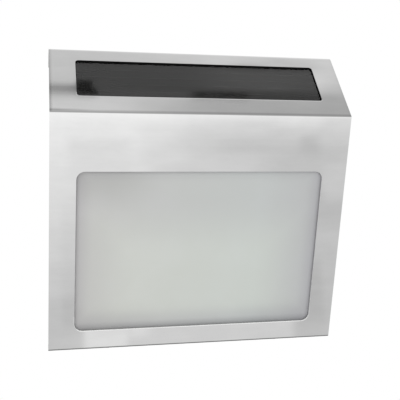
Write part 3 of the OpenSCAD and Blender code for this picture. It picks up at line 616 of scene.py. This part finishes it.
def moulded_plastic(
    name, colour, lighter, roughness=0.5, scale=1800.0, depth=TEXTURED, dust=0.25, gloss=0.5
):
    """Textured plastic with settled dust and a slightly uneven sheen."""
    finish = Finish(name, IOR=1.5, Specular_IOR_Level=gloss)
    tree = finish.tree
    texture = finish.effect("moulded_texture", Scale=scale)
    tone = finish.effect("cloudy_tone", First=colour, Second=lighter, Scale=60.0, Contrast=0.2)
    fallen = finish.effect("fallen_dust", Amount=dust)
    colour = blend_colours(tree, fallen["Mask"], tone["Colour"], rgb(0.36, 0.35, 0.33))
    finish.set("Base Color", colour)
    rough = spread(tree, texture["Sheen"], 0.3, 0.7, roughness - 0.07, roughness + 0.07)
    finish.set("Roughness", sum_up(tree, "MULTIPLY_ADD", fallen["Mask"], 0.3, rough, clamp=True))
    finish.bumps((texture["Height"], depth, 0.5))
    return finish.material


def panel_tint_and_shade(tree, colour):
    """Warm at the left, cooler to the right, with painted shade at the far right, the upper left and
    beside the foot's middle.
    """
    where = axes(tree, own_place(tree))
    right = spread(tree, where["X"], *PANEL_RIGHT)
    drift = blend_colours(tree, right, rgb(1.0, 0.995, 0.98), rgb(0.955, 1.0, 1.0))
    colour = multiply_colours(tree, colour, drift)
    # Painted shade, a little cooler, towards the far right
    far_right = spread(tree, where["X"], *PANEL_FAR_RIGHT)
    colour = blend_colours(tree, far_right, colour, rgb(0.905, 0.87, 0.88), "MULTIPLY")
    # Painted shade at the upper left
    top = window_middle + window_rise
    near_top = spread(tree, where["Z"], *[top - down for down in PANEL_TOP], smooth=True)
    near_left = spread(tree, where["X"], *PANEL_LEFT, smooth=True)
    colour = darken(tree, sum_up(tree, "MULTIPLY", near_top, near_left), colour, 0.845)
    # Painted shade towards the foot, away from its middle
    foot = window_middle - window_rise
    near_foot = spread(tree, where["Z"], *[foot + up for up in PANEL_FOOT], smooth=True)
    to_sides = spread(tree, sum_up(tree, "ABSOLUTE", where["X"]), *PANEL_SIDES)
    return darken(tree, sum_up(tree, "MULTIPLY", near_foot, to_sides), colour, 0.935)


def milky_acrylic():
    """The satin number panel, shaded by the ledge that it sits on and by the rim round it."""
    finish = Finish("milky_acrylic", IOR=1.49, Specular_IOR_Level=0.35)
    tree = finish.tree
    tone = finish.effect(
        "cloudy_tone",
        First=rgb(0.611, 0.625, 0.593),
        Second=rgb(0.627, 0.641, 0.615),
        Scale=16.0,
        Contrast=0.14,
    )
    colour = panel_tint_and_shade(tree, tone["Colour"])
    for outside, lift, reach, kept in PANEL_SHADES:
        shade = finish.effect(
            "frame_shade",
            Centre_Z=window_middle + lift,
            Half_Width=WINDOW_WIDTH / 2 + outside,
            Half_Height=WINDOW_HEIGHT / 2 + outside,
            Corner=WINDOW_CORNER,
            Reach=reach,
            Lean=front_up.z,
        )
        colour = multiply_colours(tree, colour, blend_colours(tree, shade["Mask"], grey(1.0), kept))
    finish.set("Base Color", colour)
    texture = finish.effect("moulded_texture", Scale=2600.0)
    finish.vary_roughness(texture["Sheen"], 0.36, 0.46)
    finish.bumps((texture["Height"], 0.008 * MM, 0.35))
    return finish.material


def clear_glass():
    """The solar panel's cover glass, with a little dust and a few scratches."""
    finish = Finish("cover_glass", IOR=1.6, Metallic=0.0, Transmission_Weight=1.0)
    tree = finish.tree
    fallen = finish.effect("fallen_dust", Amount=0.10)
    scratches = finish.effect("hair_scratches", Amount=0.3)
    colour = blend_colours(tree, fallen["Mask"], rgb(0.93, 0.95, 0.94), rgb(0.6, 0.6, 0.58))
    finish.set("Base Color", colour)
    marks = sum_up(tree, "MAXIMUM", fallen["Mask"], scratches["Mask"])
    finish.set("Roughness", sum_up(tree, "MULTIPLY_ADD", marks, 0.25, 0.03))
    finish.bumps((scratches["Height"], 0.002 * MM, 0.1))
    return finish.material


def dark_cells():
    """Brown-black film in long strips, streaked along them, with a painted dark reflection that deepens
    to the left.
    """
    finish = Finish("dark_solar_film", IOR=1.5, Specular_IOR_Level=0.2)
    tree = finish.tree
    tone = finish.effect(
        "cloudy_tone",
        First=rgb(0.008, 0.007, 0.006),
        Second=rgb(0.012, 0.011, 0.009),
        Scale=28.0,
        Contrast=0.2,
    )
    grain = finish.effect("rolled_grain", Length=1.2, Fineness=900.0, Streaks=0.5)
    streak = spread(tree, grain["Grain"], 0.35, 0.7)
    colour = blend_colours(tree, streak, tone["Colour"], rgb(0.014, 0.013, 0.012))
    leftward = spread(tree, axes(tree, own_place(tree))["X"], *FILM_LEFT)
    # Painted dark reflection, deepening to the left
    finish.set("Base Color", darken(tree, leftward, colour, 0.5))
    finish.vary_roughness(grain["Grain"], 0.16, 0.28)
    finish.bumps((grain["Height"], 0.006 * MM, 0.3))
    return finish.material


def circuit_board(name, base, trace):
    """A circuit board: lacquer over copper tracks that show as another tone."""
    finish = Finish(name, IOR=1.5, Coat_Weight=0.3)
    tracks = place(
        finish.tree,
        "TexBrick",
        {
            "Vector": turned_place(finish.tree, turn=(math.radians(90), 0, 0)),
            "Color1": base,
            "Color2": base,
            "Mortar": trace,
            "Scale": 170.0,
            "Mortar Size": 0.05,
            "Brick Width": 1.3,
            "Row Height": 0.4,
        },
    ).outputs
    tone = finish.effect("cloudy_tone", First=grey(0.92), Second=grey(1.0), Scale=90.0, Contrast=0.2)
    finish.set("Base Color", multiply_colours(finish.tree, tracks["Color"], tone["Colour"]))
    texture = finish.effect("moulded_texture", Scale=3200.0)
    finish.vary_roughness(texture["Sheen"], 0.28, 0.4)
    finish.bumps((tracks["Fac"], 0.03 * MM, 0.4), (texture["Height"], 0.006 * MM, 0.3))
    return finish.material


def soft_rubber(name, colour, lighter, scale=1400.0, roughness=0.85, gloss=0.25):
    """Foam and rubber: matt, open-pored, uneven."""
    finish = Finish(name, Specular_IOR_Level=gloss)
    tone = finish.effect("cloudy_tone", First=colour, Second=lighter, Scale=180.0, Contrast=0.25)
    texture = finish.effect("moulded_texture", Scale=scale, Softness=0.2)
    finish.set("Base Color", tone["Colour"])
    finish.vary_roughness(texture["Sheen"], roughness - 0.08, roughness + 0.06)
    finish.bumps((texture["Height"], 0.15 * MM, 0.6))
    return finish.material


def printed_ink():
    """Pale ink, thin enough that the texture under it shows, rubbed off in spots."""
    finish = Finish("printed_ink", Specular_IOR_Level=0.3)
    tone = finish.effect(
        "cloudy_tone",
        First=rgb(0.40, 0.40, 0.39),
        Second=rgb(0.56, 0.56, 0.54),
        Scale=900.0,
        Contrast=0.22,
    )
    texture = finish.effect("moulded_texture", Scale=1800.0)
    finish.set("Base Color", tone["Colour"])
    finish.vary_roughness(texture["Sheen"], 0.5, 0.62)
    finish.bumps((texture["Height"], 0.03 * MM, 0.4))
    return finish.material


def phosphor():
    """The yellow phosphor over each diode."""
    finish = Finish("yellow_phosphor", IOR=1.45)
    tone = finish.effect(
        "cloudy_tone",
        First=rgb(0.80, 0.62, 0.16),
        Second=rgb(0.86, 0.72, 0.24),
        Scale=900.0,
        Contrast=0.25,
    )
    finish.set("Base Color", tone["Colour"])
    finish.set("Roughness", spread(finish.tree, tone["Mask"], 0.0, 1.0, 0.22, 0.34))
    return finish.material


# Which solid wears which finish
def dress(node_name, material):
    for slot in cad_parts[node_name].material_slots:
        slot.material = material


black = (rgb(0.012, 0.012, 0.013), rgb(0.017, 0.017, 0.018))
wire_cover = {"scale": 900.0, "roughness": 0.45}
red_wire = soft_rubber("red_wire_cover", rgb(0.42, 0.035, 0.03), rgb(0.48, 0.05, 0.045), **wire_cover)
nickel_plate = plated_metal("nickel_plate", rgb(0.68, 0.67, 0.65), rgb(0.76, 0.75, 0.72))
tin_plate = plated_metal("tin_plate", rgb(0.62, 0.62, 0.63), grey(0.70), roughness=0.34)
zinc_plate = plated_metal("zinc_plate", rgb(0.58, 0.59, 0.60), rgb(0.68, 0.69, 0.70), roughness=0.32)
stainless_screws = plated_metal("stainless_screws", grey(0.64), rgb(0.72, 0.72, 0.71), roughness=0.26)
case_plastic = moulded_plastic("housing_plastic", *black, roughness=0.55, gloss=0.35)
slider_plastic = moulded_plastic(
    "slider_plastic", *black, roughness=0.38, scale=1500.0, depth=SATIN, dust=0.1
)
back_plastic = moulded_plastic("back_plastic", rgb(0.018, 0.018, 0.019), rgb(0.024, 0.024, 0.025))
white_plastic = moulded_plastic(
    "white_reflector_plastic", rgb(0.84, 0.84, 0.83), rgb(0.88, 0.88, 0.87), roughness=0.4, dust=0.05
)
diode_plastic = moulded_plastic(
    "diode_bodies",
    rgb(0.82, 0.82, 0.78),
    rgb(0.88, 0.87, 0.84),
    roughness=0.35,
    scale=3200.0,
    depth=SMOOTH,
    dust=0.0,
)
chip_resin = moulded_plastic(
    "chip_resin",
    rgb(0.022, 0.022, 0.024),
    rgb(0.032, 0.032, 0.034),
    roughness=0.6,
    scale=3600.0,
    depth=SMOOTH,
    dust=0.0,
)
ferrite = moulded_plastic(
    "ferrite",
    rgb(0.055, 0.05, 0.048),
    rgb(0.085, 0.08, 0.075),
    roughness=0.65,
    scale=2400.0,
    dust=0.0,
)
dark_sleeve = moulded_plastic(
    "dark_sleeve",
    rgb(0.02, 0.025, 0.06),
    rgb(0.03, 0.036, 0.08),
    roughness=0.3,
    scale=900.0,
    dust=0.0,
)
brown_board = moulded_plastic(
    "brown_board",
    rgb(0.20, 0.10, 0.045),
    rgb(0.26, 0.14, 0.07),
    roughness=0.6,
    scale=2400.0,
    dust=0.0,
)
green_sleeve = moulded_plastic(
    "green_sleeve",
    rgb(0.04, 0.20, 0.08),
    rgb(0.05, 0.24, 0.10),
    roughness=0.28,
    scale=700.0,
    dust=0.0,
)
backing_board = circuit_board("dark_backing_board", rgb(0.018, 0.018, 0.02), rgb(0.035, 0.033, 0.03))
diode_board = circuit_board("white_board", rgb(0.80, 0.81, 0.79), rgb(0.68, 0.70, 0.66))
main_board = circuit_board("green_board", rgb(0.015, 0.12, 0.045), rgb(0.035, 0.20, 0.08))

dress("steel_cover", stainless_sheet())
dress("front_housing", case_plastic)
dress("back_cover", back_plastic)
dress("back_screws", zinc_plate)
dress("flange_screws", stainless_screws)
dress("number_panel", milky_acrylic())
dress("number_panel_seal", soft_rubber("foam_seal", grey(0.045), grey(0.06)))
dress("reflector", white_plastic)
dress("solar_glass", clear_glass())
dress("solar_backing", backing_board)
dress("solar_tape", soft_rubber("foam_tape", grey(0.07), grey(0.10)))
dress("solar_leads", red_wire)
dress("led_board", diode_board)
dress("leds", diode_plastic)
dress("led_leads", red_wire)
dress("main_board", main_board)
dress("board_screws", zinc_plate)
dress("driver_chip", chip_resin)
dress("inductor", ferrite)
dress("capacitor", dark_sleeve)
dress("switch_can", tin_plate)
dress("switch_base", brown_board)
dress("switch_slider", slider_plastic)
dress("battery_cell", nickel_plate)
dress("battery_sleeve", green_sleeve)
dress("battery_spring", nickel_plate)
dress("positive_contact", nickel_plate)
dress("negative_contact", nickel_plate)
dress("battery_leads", soft_rubber("black_wire_cover", grey(0.02), grey(0.03), **wire_cover))
dress("battery_door", back_plastic)
dress("battery_pad", soft_rubber("foam_pad", grey(0.05), grey(0.07)))


# Pieces that the solids leave to the looks
def place_key(part):
    """A number that tells the places of points, edges and faces apart."""
    points = [part] if isinstance(part, bmesh.types.BMVert) else part.verts
    return sum(point.co.dot(KEY_WEIGHTS) for point in points)


def add_piece(name, built, material, bevel=0.0):
    """Turns a built mesh into a piece of the fixed body, with its edges eased by a bevel."""
    for parts in (built.verts, built.edges, built.faces):
        parts.sort(key=place_key)
    mesh = bpy.data.meshes.new(name)
    built.to_mesh(mesh)
    built.free()
    mesh.materials.append(material)
    piece = bpy.data.objects.new(name, mesh)
    bpy.context.scene.collection.objects.link(piece)
    if bevel:
        eased = piece.modifiers.new("eased_edges", "BEVEL")
        eased.width = bevel
        eased.segments = 2
    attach(piece, "light")
    return piece


def smooth_faces(built):
    for face in built.faces:
        face.smooth = True


def add_slab(built, turned, size):
    """A slab of the given size, its middle and direction given by a matrix."""
    bmesh.ops.create_cube(built, size=1.0, matrix=turned @ Matrix.Diagonal((*size, 1.0)))


def add_cells():
    """Five long cells bonded into the underside of the cover glass, parted by thin lines."""
    built = bmesh.new()
    width = SOLAR_WIDTH - 2 * CELL_MARGIN
    pitch = (solar_height - 2 * CELL_MARGIN + CELL_LINE) / CELL_COUNT
    lie = Matrix((Vector((1, 0, 0)), slope_up, slope_out)).transposed().to_4x4()
    for row in range(CELL_COUNT):
        up = SOLAR_RISE + CELL_MARGIN + (row + 0.5) * pitch - CELL_LINE / 2
        middle = on_slope(0, up, BONDED - GLASS_DEPTH - CELL_THICKNESS / 2)
        add_slab(built, Matrix.Translation(middle) @ lie, (width, pitch - CELL_LINE, CELL_THICKNESS))
    cells = add_piece("solar_cells", built, dark_cells(), CELL_BEVEL)
    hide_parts("solar_film")


def rounded_outline(half_width, half_height, radius):
    """Points round a rectangle with rounded corners."""
    outline = []
    for corner, (side_x, side_y) in enumerate(((1, 1), (-1, 1), (-1, -1), (1, -1))):
        for step in range(CORNER_STEPS + 1):
            angle = math.radians(90 * (corner + step / CORNER_STEPS))
            x = side_x * (half_width - radius) + radius * math.cos(angle)
            y = side_y * (half_height - radius) + radius * math.sin(angle)
            outline.append((x, y))
    return outline


def add_edge_bead_and_shade():
    """The black bead that seals the cover glass to the walls of its recess, near-black so that it also
    serves as painted shade there, widest above and at the right.
    """
    built = bmesh.new()
    rings = []
    for inward, above, shifted in BEAD_AND_SHADE_PROFILE:
        half_width = SOLAR_WIDTH / 2 - inward
        half_height = solar_height / 2 - inward
        ring = []
        for x, y in rounded_outline(half_width, half_height, SOLAR_CORNER - inward):
            up = solar_centre_rise + y + BEAD_SHADE_SHIFT[1] * shifted
            ring.append(built.verts.new(on_slope(x + BEAD_SHADE_SHIFT[0] * shifted, up, above - GLASS_TOP)))
        rings.append(ring)
    for first, second in zip(rings, rings[1:] + rings[:1]):
        for at in range(len(first)):
            built.faces.new((first[at - 1], first[at], second[at], second[at - 1]))
    bmesh.ops.recalc_face_normals(built, faces=built.faces[:])
    smooth_faces(built)
    # Near-black and matt, so that the bead also serves as painted shade in the recess
    matt = {"scale": 2200.0, "roughness": 0.8, "gloss": 0.05}
    bead_finish = soft_rubber("black_bead_and_shade", grey(0.003), grey(0.005), **matt)
    add_piece("edge_bead_and_shade", built, bead_finish)


def add_phosphor():
    """A low dome of phosphor on the lit face of each diode."""
    low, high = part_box("leds")
    built = bmesh.new()
    for number in range(DIODE_COUNT):
        x = (number - (DIODE_COUNT - 1) / 2) * DIODE_PITCH
        middle = Vector((x, (low.y + high.y) / 2, low.z))
        flat = Matrix.Translation(middle) @ Matrix.Diagonal((1.0, 1.0, DOME_FLATNESS, 1.0))
        bmesh.ops.create_uvsphere(built, u_segments=20, v_segments=10, radius=DOME_RADIUS, matrix=flat)
    smooth_faces(built)
    add_piece("phosphor_domes", built, phosphor())


def add_bar(built, middle, width, height):
    """A straight printed line."""
    add_slab(built, Matrix.Translation(middle), (width, 2 * INK, height))


def add_ring(built, middle, radius, line):
    """A printed ring."""
    outer = bmesh.ops.create_circle(built, segments=40, radius=radius)["verts"]
    inner = bmesh.ops.create_circle(built, segments=40, radius=radius - line)["verts"]
    turned = Matrix.Translation(middle) @ Matrix.Rotation(math.radians(90), 4, "X")
    bmesh.ops.transform(built, matrix=turned, verts=outer + inner)
    sides = dict.fromkeys(edge for vert in outer + inner for edge in vert.link_edges)
    flat = bmesh.ops.bridge_loops(built, edges=list(sides))["faces"]
    thick = bmesh.ops.extrude_face_region(built, geom=flat)["geom"]
    moved = [part for part in thick if isinstance(part, bmesh.types.BMVert)]
    bmesh.ops.translate(built, verts=moved, vec=(0, INK, 0))
    bmesh.ops.recalc_face_normals(built, faces=built.faces[:])


def add_printed_marks():
    """Off and on beside the switch, plus and minus beside the battery door."""
    built = bmesh.new()
    reach = Vector((SWITCH_MARK_REACH, 0, 0))
    add_ring(built, SWITCH_MIDDLE - reach, MARK_SIZE / 2, MARK_LINE)
    add_bar(built, SWITCH_MIDDLE + reach, MARK_LINE, MARK_SIZE)
    plus = Vector((-POLE_MARK_X, 0, SWITCH_MIDDLE.z))
    minus = Vector((POLE_MARK_X, 0, SWITCH_MIDDLE.z))
    add_bar(built, plus, MARK_SIZE, MARK_LINE)
    add_bar(built, plus, MARK_LINE, MARK_SIZE)
    add_bar(built, minus, MARK_SIZE, MARK_LINE)
    add_piece("printed_marks", built, printed_ink())


add_cells()
add_edge_bead_and_shade()
add_phosphor()
add_printed_marks()


# The floor: pale, well below the light, fading into the white background
FLOOR_DROP = 0.30
FLOOR_RADIUS = 1.6
FLOOR_SOLID = 0.42
FLOOR_GONE = 0.62


def fading_floor():
    """Pale and mottled round the middle, and pure white to the camera from there outwards."""
    material = bpy.data.materials.new("pale_floor")
    material.use_nodes = True
    tree = material.node_tree
    tree.nodes.clear()
    where = own_place(tree)
    reach = place(tree, "VectorMath", operation="LENGTH")
    feed(tree, reach.inputs[0], where)
    faded = spread(tree, reach.outputs["Value"], FLOOR_SOLID, FLOOR_GONE, smooth=True)
    pale = blend_colours(tree, noise(tree, where, 40.0), grey(0.80), grey(0.84))
    solid = place(tree, "BsdfDiffuse", {"Color": pale})
    white = place(tree, "Emission", {"Strength": 1.0})
    path = place(tree, "LightPath").outputs
    seen = sum_up(tree, "MAXIMUM", path["Is Camera Ray"], path["Is Transmission Ray"])
    mixed = place(tree, "MixShader")
    feed(tree, mixed.inputs[0], sum_up(tree, "MULTIPLY", faded, seen))
    feed(tree, mixed.inputs[1], solid.outputs[0])
    feed(tree, mixed.inputs[2], white.outputs[0])
    place(tree, "OutputMaterial", {"Surface": mixed.outputs[0]})
    return material


def add_floor():
    mesh = bpy.data.meshes.new("pale_floor")
    built = bmesh.new()
    bmesh.ops.create_circle(built, cap_ends=True, segments=96, radius=FLOOR_RADIUS)
    built.to_mesh(mesh)
    built.free()
    mesh.materials.append(fading_floor())
    floor = bpy.data.objects.new("pale_floor", mesh)
    floor.location = (0, 0, cad_low.z - FLOOR_DROP)
    bpy.context.scene.collection.objects.link(floor)
    floor.visible_glossy = False


# The studio as metal and glass see it: brightness by the angle from the front horizon over the top to
# the back, once for what lies to the left and once for what lies well to the right; the ground and what
# lies ahead and above are the same for both
GROUND = ((-150, 0.80), (-132, 0.06), (-97, 0.06), (-86, 0.50), (-56, 0.52), (-46, 0.42))
AHEAD = ((-20.9, 1.25), (-18, 1.30), (0, 1.25), (6, 0.80), (36, 0.60), (60, 0.50), (82, 0.45))
STUDIO_LEFT = (
    *GROUND,
    (-42, 0.62),
    (-40, 0.73),
    (-37.3, 0.69),
    (-35, 0.73),
    (-30, 0.84),
    (-24.5, 1.02),
    (-21.35, 1.05),
    *AHEAD,
    (86.2, 0.62),
    (87.3, 0.81),
    (88.3, 0.78),
    (90, 0.69),
    (92, 0.72),
    (180, 0.95),
)
STUDIO_RIGHT = (
    *GROUND,
    (-42, 0.60),
    (-40, 0.69),
    (-36, 0.67),
    (-31, 0.72),
    (-29.3, 0.64),
    (-26.2, 0.73),
    (-24.4, 0.68),
    (-22.5, 0.83),
    (-21.35, 0.92),
    *AHEAD,
    (86, 0.42),
    (87.5, 0.52),
    (88.5, 0.50),
    (89.1, 0.56),
    (89.6, 0.66),
    (92, 0.80),
    (180, 0.95),
)

# How far to the right the second one takes over: below and above the angle at which this changes, which
# is in radians
SIDE_BELOW = (0.10, 0.28)
SIDE_ABOVE = (0.06, 0.26)
SIDE_CHANGE = 0.5

# Cards and soft boxes in that studio, first those over the slope and then those before the front:
# sideways and angle limits, the softness of each, and the brightness; a later one lies over an earlier
FAR_LEFT = -1.0
SLOPE_CARDS = (
    (FAR_LEFT, 0.050, 88.62, 89.46, 0.004, 0.08, 0.50),
    (FAR_LEFT, 0.050, 88.86, 89.42, 0.004, 0.12, 0.24),
    (0.050, 0.079, 88.68, 89.15, 0.003, 0.04, 0.04),
    (0.050, 0.072, 89.10, 89.76, 0.005, 0.10, 0.04),
    (0.230, 0.364, 89.30, 90.95, 0.060, 0.20, 0.92),
    (0.100, 0.201, 88.66, 89.06, 0.005, 0.06, 0.80),
    (0.210, 0.285, 88.66, 89.09, 0.008, 0.06, 0.12),
    (0.285, 0.400, 88.66, 89.00, 0.010, 0.06, 0.45),
    (0.262, 0.356, 91.10, 91.42, 0.030, 0.25, 0.46),
    (0.302, 0.365, 91.10, 91.90, 0.015, 0.25, 0.66),
)
FRONT_CARDS = (
    (0.060, 0.120, -44, -37.4, 0.004, 0.3, 0.92),
    (0.120, 0.333, -44, -37.4, 0.006, 0.3, 0.81),
    (0.120, 0.146, -38.7, -37.4, 0.012, 0.3, 0.91),
    (0.340, 0.374, -38.5, -33.5, 0.004, 1.0, 0.60),
    (0.040, 0.125, -26.3, -23.4, 0.010, 0.4, 0.93),
    (0.170, 0.300, -27.3, -24.5, 0.030, 0.4, 0.83),
    (0.135, 0.200, -25.3, -24.1, 0.015, 0.3, 0.92),
    (0.380, 0.420, -28.4, -25.4, 0.006, 0.5, 0.77),
    (0.378, 0.420, -22.4, -21.3, 0.010, 0.3, 0.87),
    (0.240, 0.310, -23.0, -22.0, 0.020, 0.3, 0.89),
    (0.352, 0.375, -24.3, -23.0, 0.006, 0.3, 0.67),
    (0.032, 0.060, -38.1, -35.6, 0.004, 0.6, 0.64),
    (FAR_LEFT, 0.030, -30.3, -28.0, 0.006, 0.7, 0.92),
    (FAR_LEFT, 0.030, -33.0, -30.3, 0.006, 0.7, 0.86),
    (FAR_LEFT, 0.030, -35.5, -33.0, 0.006, 0.7, 0.79),
)
DIFFUSE_LEVEL = 0.80

# The lamps: where each stands, its width and height, and its power; all aim at the object's middle
LAMP_AIM = Vector((0.0, 0.0, -0.06))
LAMPS = (
    ("key_lamp", (-0.7, -1.1, 0.9), (0.9, 0.9), 5.0),
    ("fill_lamp", (0.9, -0.9, 0.2), (0.8, 0.8), 2.0),
    ("back_lamp", (0.2, 1.2, 0.8), (0.9, 0.9), 4.0),
)


def studio_ramp(tree, turned, bands):
    """Brightness bands round the studio; the angle is given as a share of a full turn."""
    ramp = place(tree, "ValToRGB", {"Fac": turned})
    marks = ramp.color_ramp.elements
    while len(marks) > 1:
        marks.remove(marks[-1])
    marks[0].position = 0.0
    marks[0].color = grey(bands[-1][1])
    for degrees, level in bands:
        marks.new((degrees + 180) / 360).color = grey(level)
    return ramp.outputs["Color"]


def studio_brightness(tree):
    """How bright the studio is in each direction: both ramps, and the cards over them."""
    way = axes(tree, place(tree, "TexCoord").outputs["Generated"])
    angle = sum_up(tree, "ARCTAN2", way["Z"], sum_up(tree, "MULTIPLY", way["Y"], -1.0))
    turned = spread(tree, angle, -math.pi, math.pi)
    degrees = sum_up(tree, "DEGREES", angle)
    below = spread(tree, way["X"], *SIDE_BELOW, smooth=True)
    above = spread(tree, way["X"], *SIDE_ABOVE, smooth=True)
    side = blend_colours(tree, sum_up(tree, "GREATER_THAN", angle, SIDE_CHANGE), below, above)
    left = studio_ramp(tree, turned, STUDIO_LEFT)
    right = studio_ramp(tree, turned, STUDIO_RIGHT)
    studio = blend_colours(tree, side, left, right)
    for x_low, x_high, low, high, x_soft, soft, level in SLOPE_CARDS + FRONT_CARDS:
        wide = inside_band(tree, way["X"], x_low, x_high, x_soft)
        tall = inside_band(tree, degrees, low, high, soft)
        studio = blend_colours(tree, sum_up(tree, "MULTIPLY", wide, tall), studio, grey(level))
    return studio


def add_world():
    """The studio for mirrored and passing rays, a plain level for all others, white to the camera."""
    world = bpy.data.worlds.new("studio")
    bpy.context.scene.world = world
    world.use_nodes = True
    tree = world.node_tree
    tree.nodes.clear()
    path = place(tree, "LightPath").outputs
    mirrored = sum_up(tree, "MAXIMUM", path["Is Glossy Ray"], path["Is Transmission Ray"])
    lit = blend_colours(tree, mirrored, grey(DIFFUSE_LEVEL), studio_brightness(tree))
    shown = blend_colours(tree, path["Is Camera Ray"], lit, grey(1.0))
    background = place(tree, "Background", {"Color": shown, "Strength": 1.0})
    place(tree, "OutputWorld", {"Surface": background.outputs[0]})


def add_lamp(name, stand, size, power):
    data = bpy.data.lights.new(name, "AREA")
    data.shape = "RECTANGLE"
    data.size, data.size_y = size
    data.energy = power
    lamp = bpy.data.objects.new(name, data)
    lamp.location = stand
    lamp.rotation_euler = (LAMP_AIM - Vector(stand)).to_track_quat("-Z", "Y").to_euler()
    lamp.visible_glossy = False
    bpy.context.scene.collection.objects.link(lamp)


def add_camera():
    sight = Vector(
        (
            math.sin(CAMERA_YAW) * math.cos(CAMERA_PITCH),
            math.cos(CAMERA_YAW) * math.cos(CAMERA_PITCH),
            -math.sin(CAMERA_PITCH),
        )
    )
    level_right = Vector((math.cos(CAMERA_YAW), -math.sin(CAMERA_YAW), 0))
    level_up = level_right.cross(sight)
    right = level_right * math.cos(CAMERA_ROLL) + level_up * math.sin(CAMERA_ROLL)
    up = level_up * math.cos(CAMERA_ROLL) - level_right * math.sin(CAMERA_ROLL)
    data = bpy.data.cameras.new("camera")
    data.sensor_width = SENSOR_WIDTH
    data.lens = FOCAL_PIXELS / FRAME_PIXELS * SENSOR_WIDTH
    data.shift_y = (AXIS_ROW - FRAME_PIXELS / 2) / FRAME_PIXELS
    data.clip_start = 0.01
    camera = bpy.data.objects.new("camera", data)
    turn = Matrix((right, up, -sight)).transposed().to_4x4()
    camera.matrix_world = Matrix.Translation(CAMERA_PLACE) @ turn
    bpy.context.scene.collection.objects.link(camera)
    bpy.context.scene.camera = camera


add_camera()
add_world()
add_floor()
for lamp in LAMPS:
    add_lamp(*lamp)

bpy.context.scene.view_settings.view_transform = "Standard"
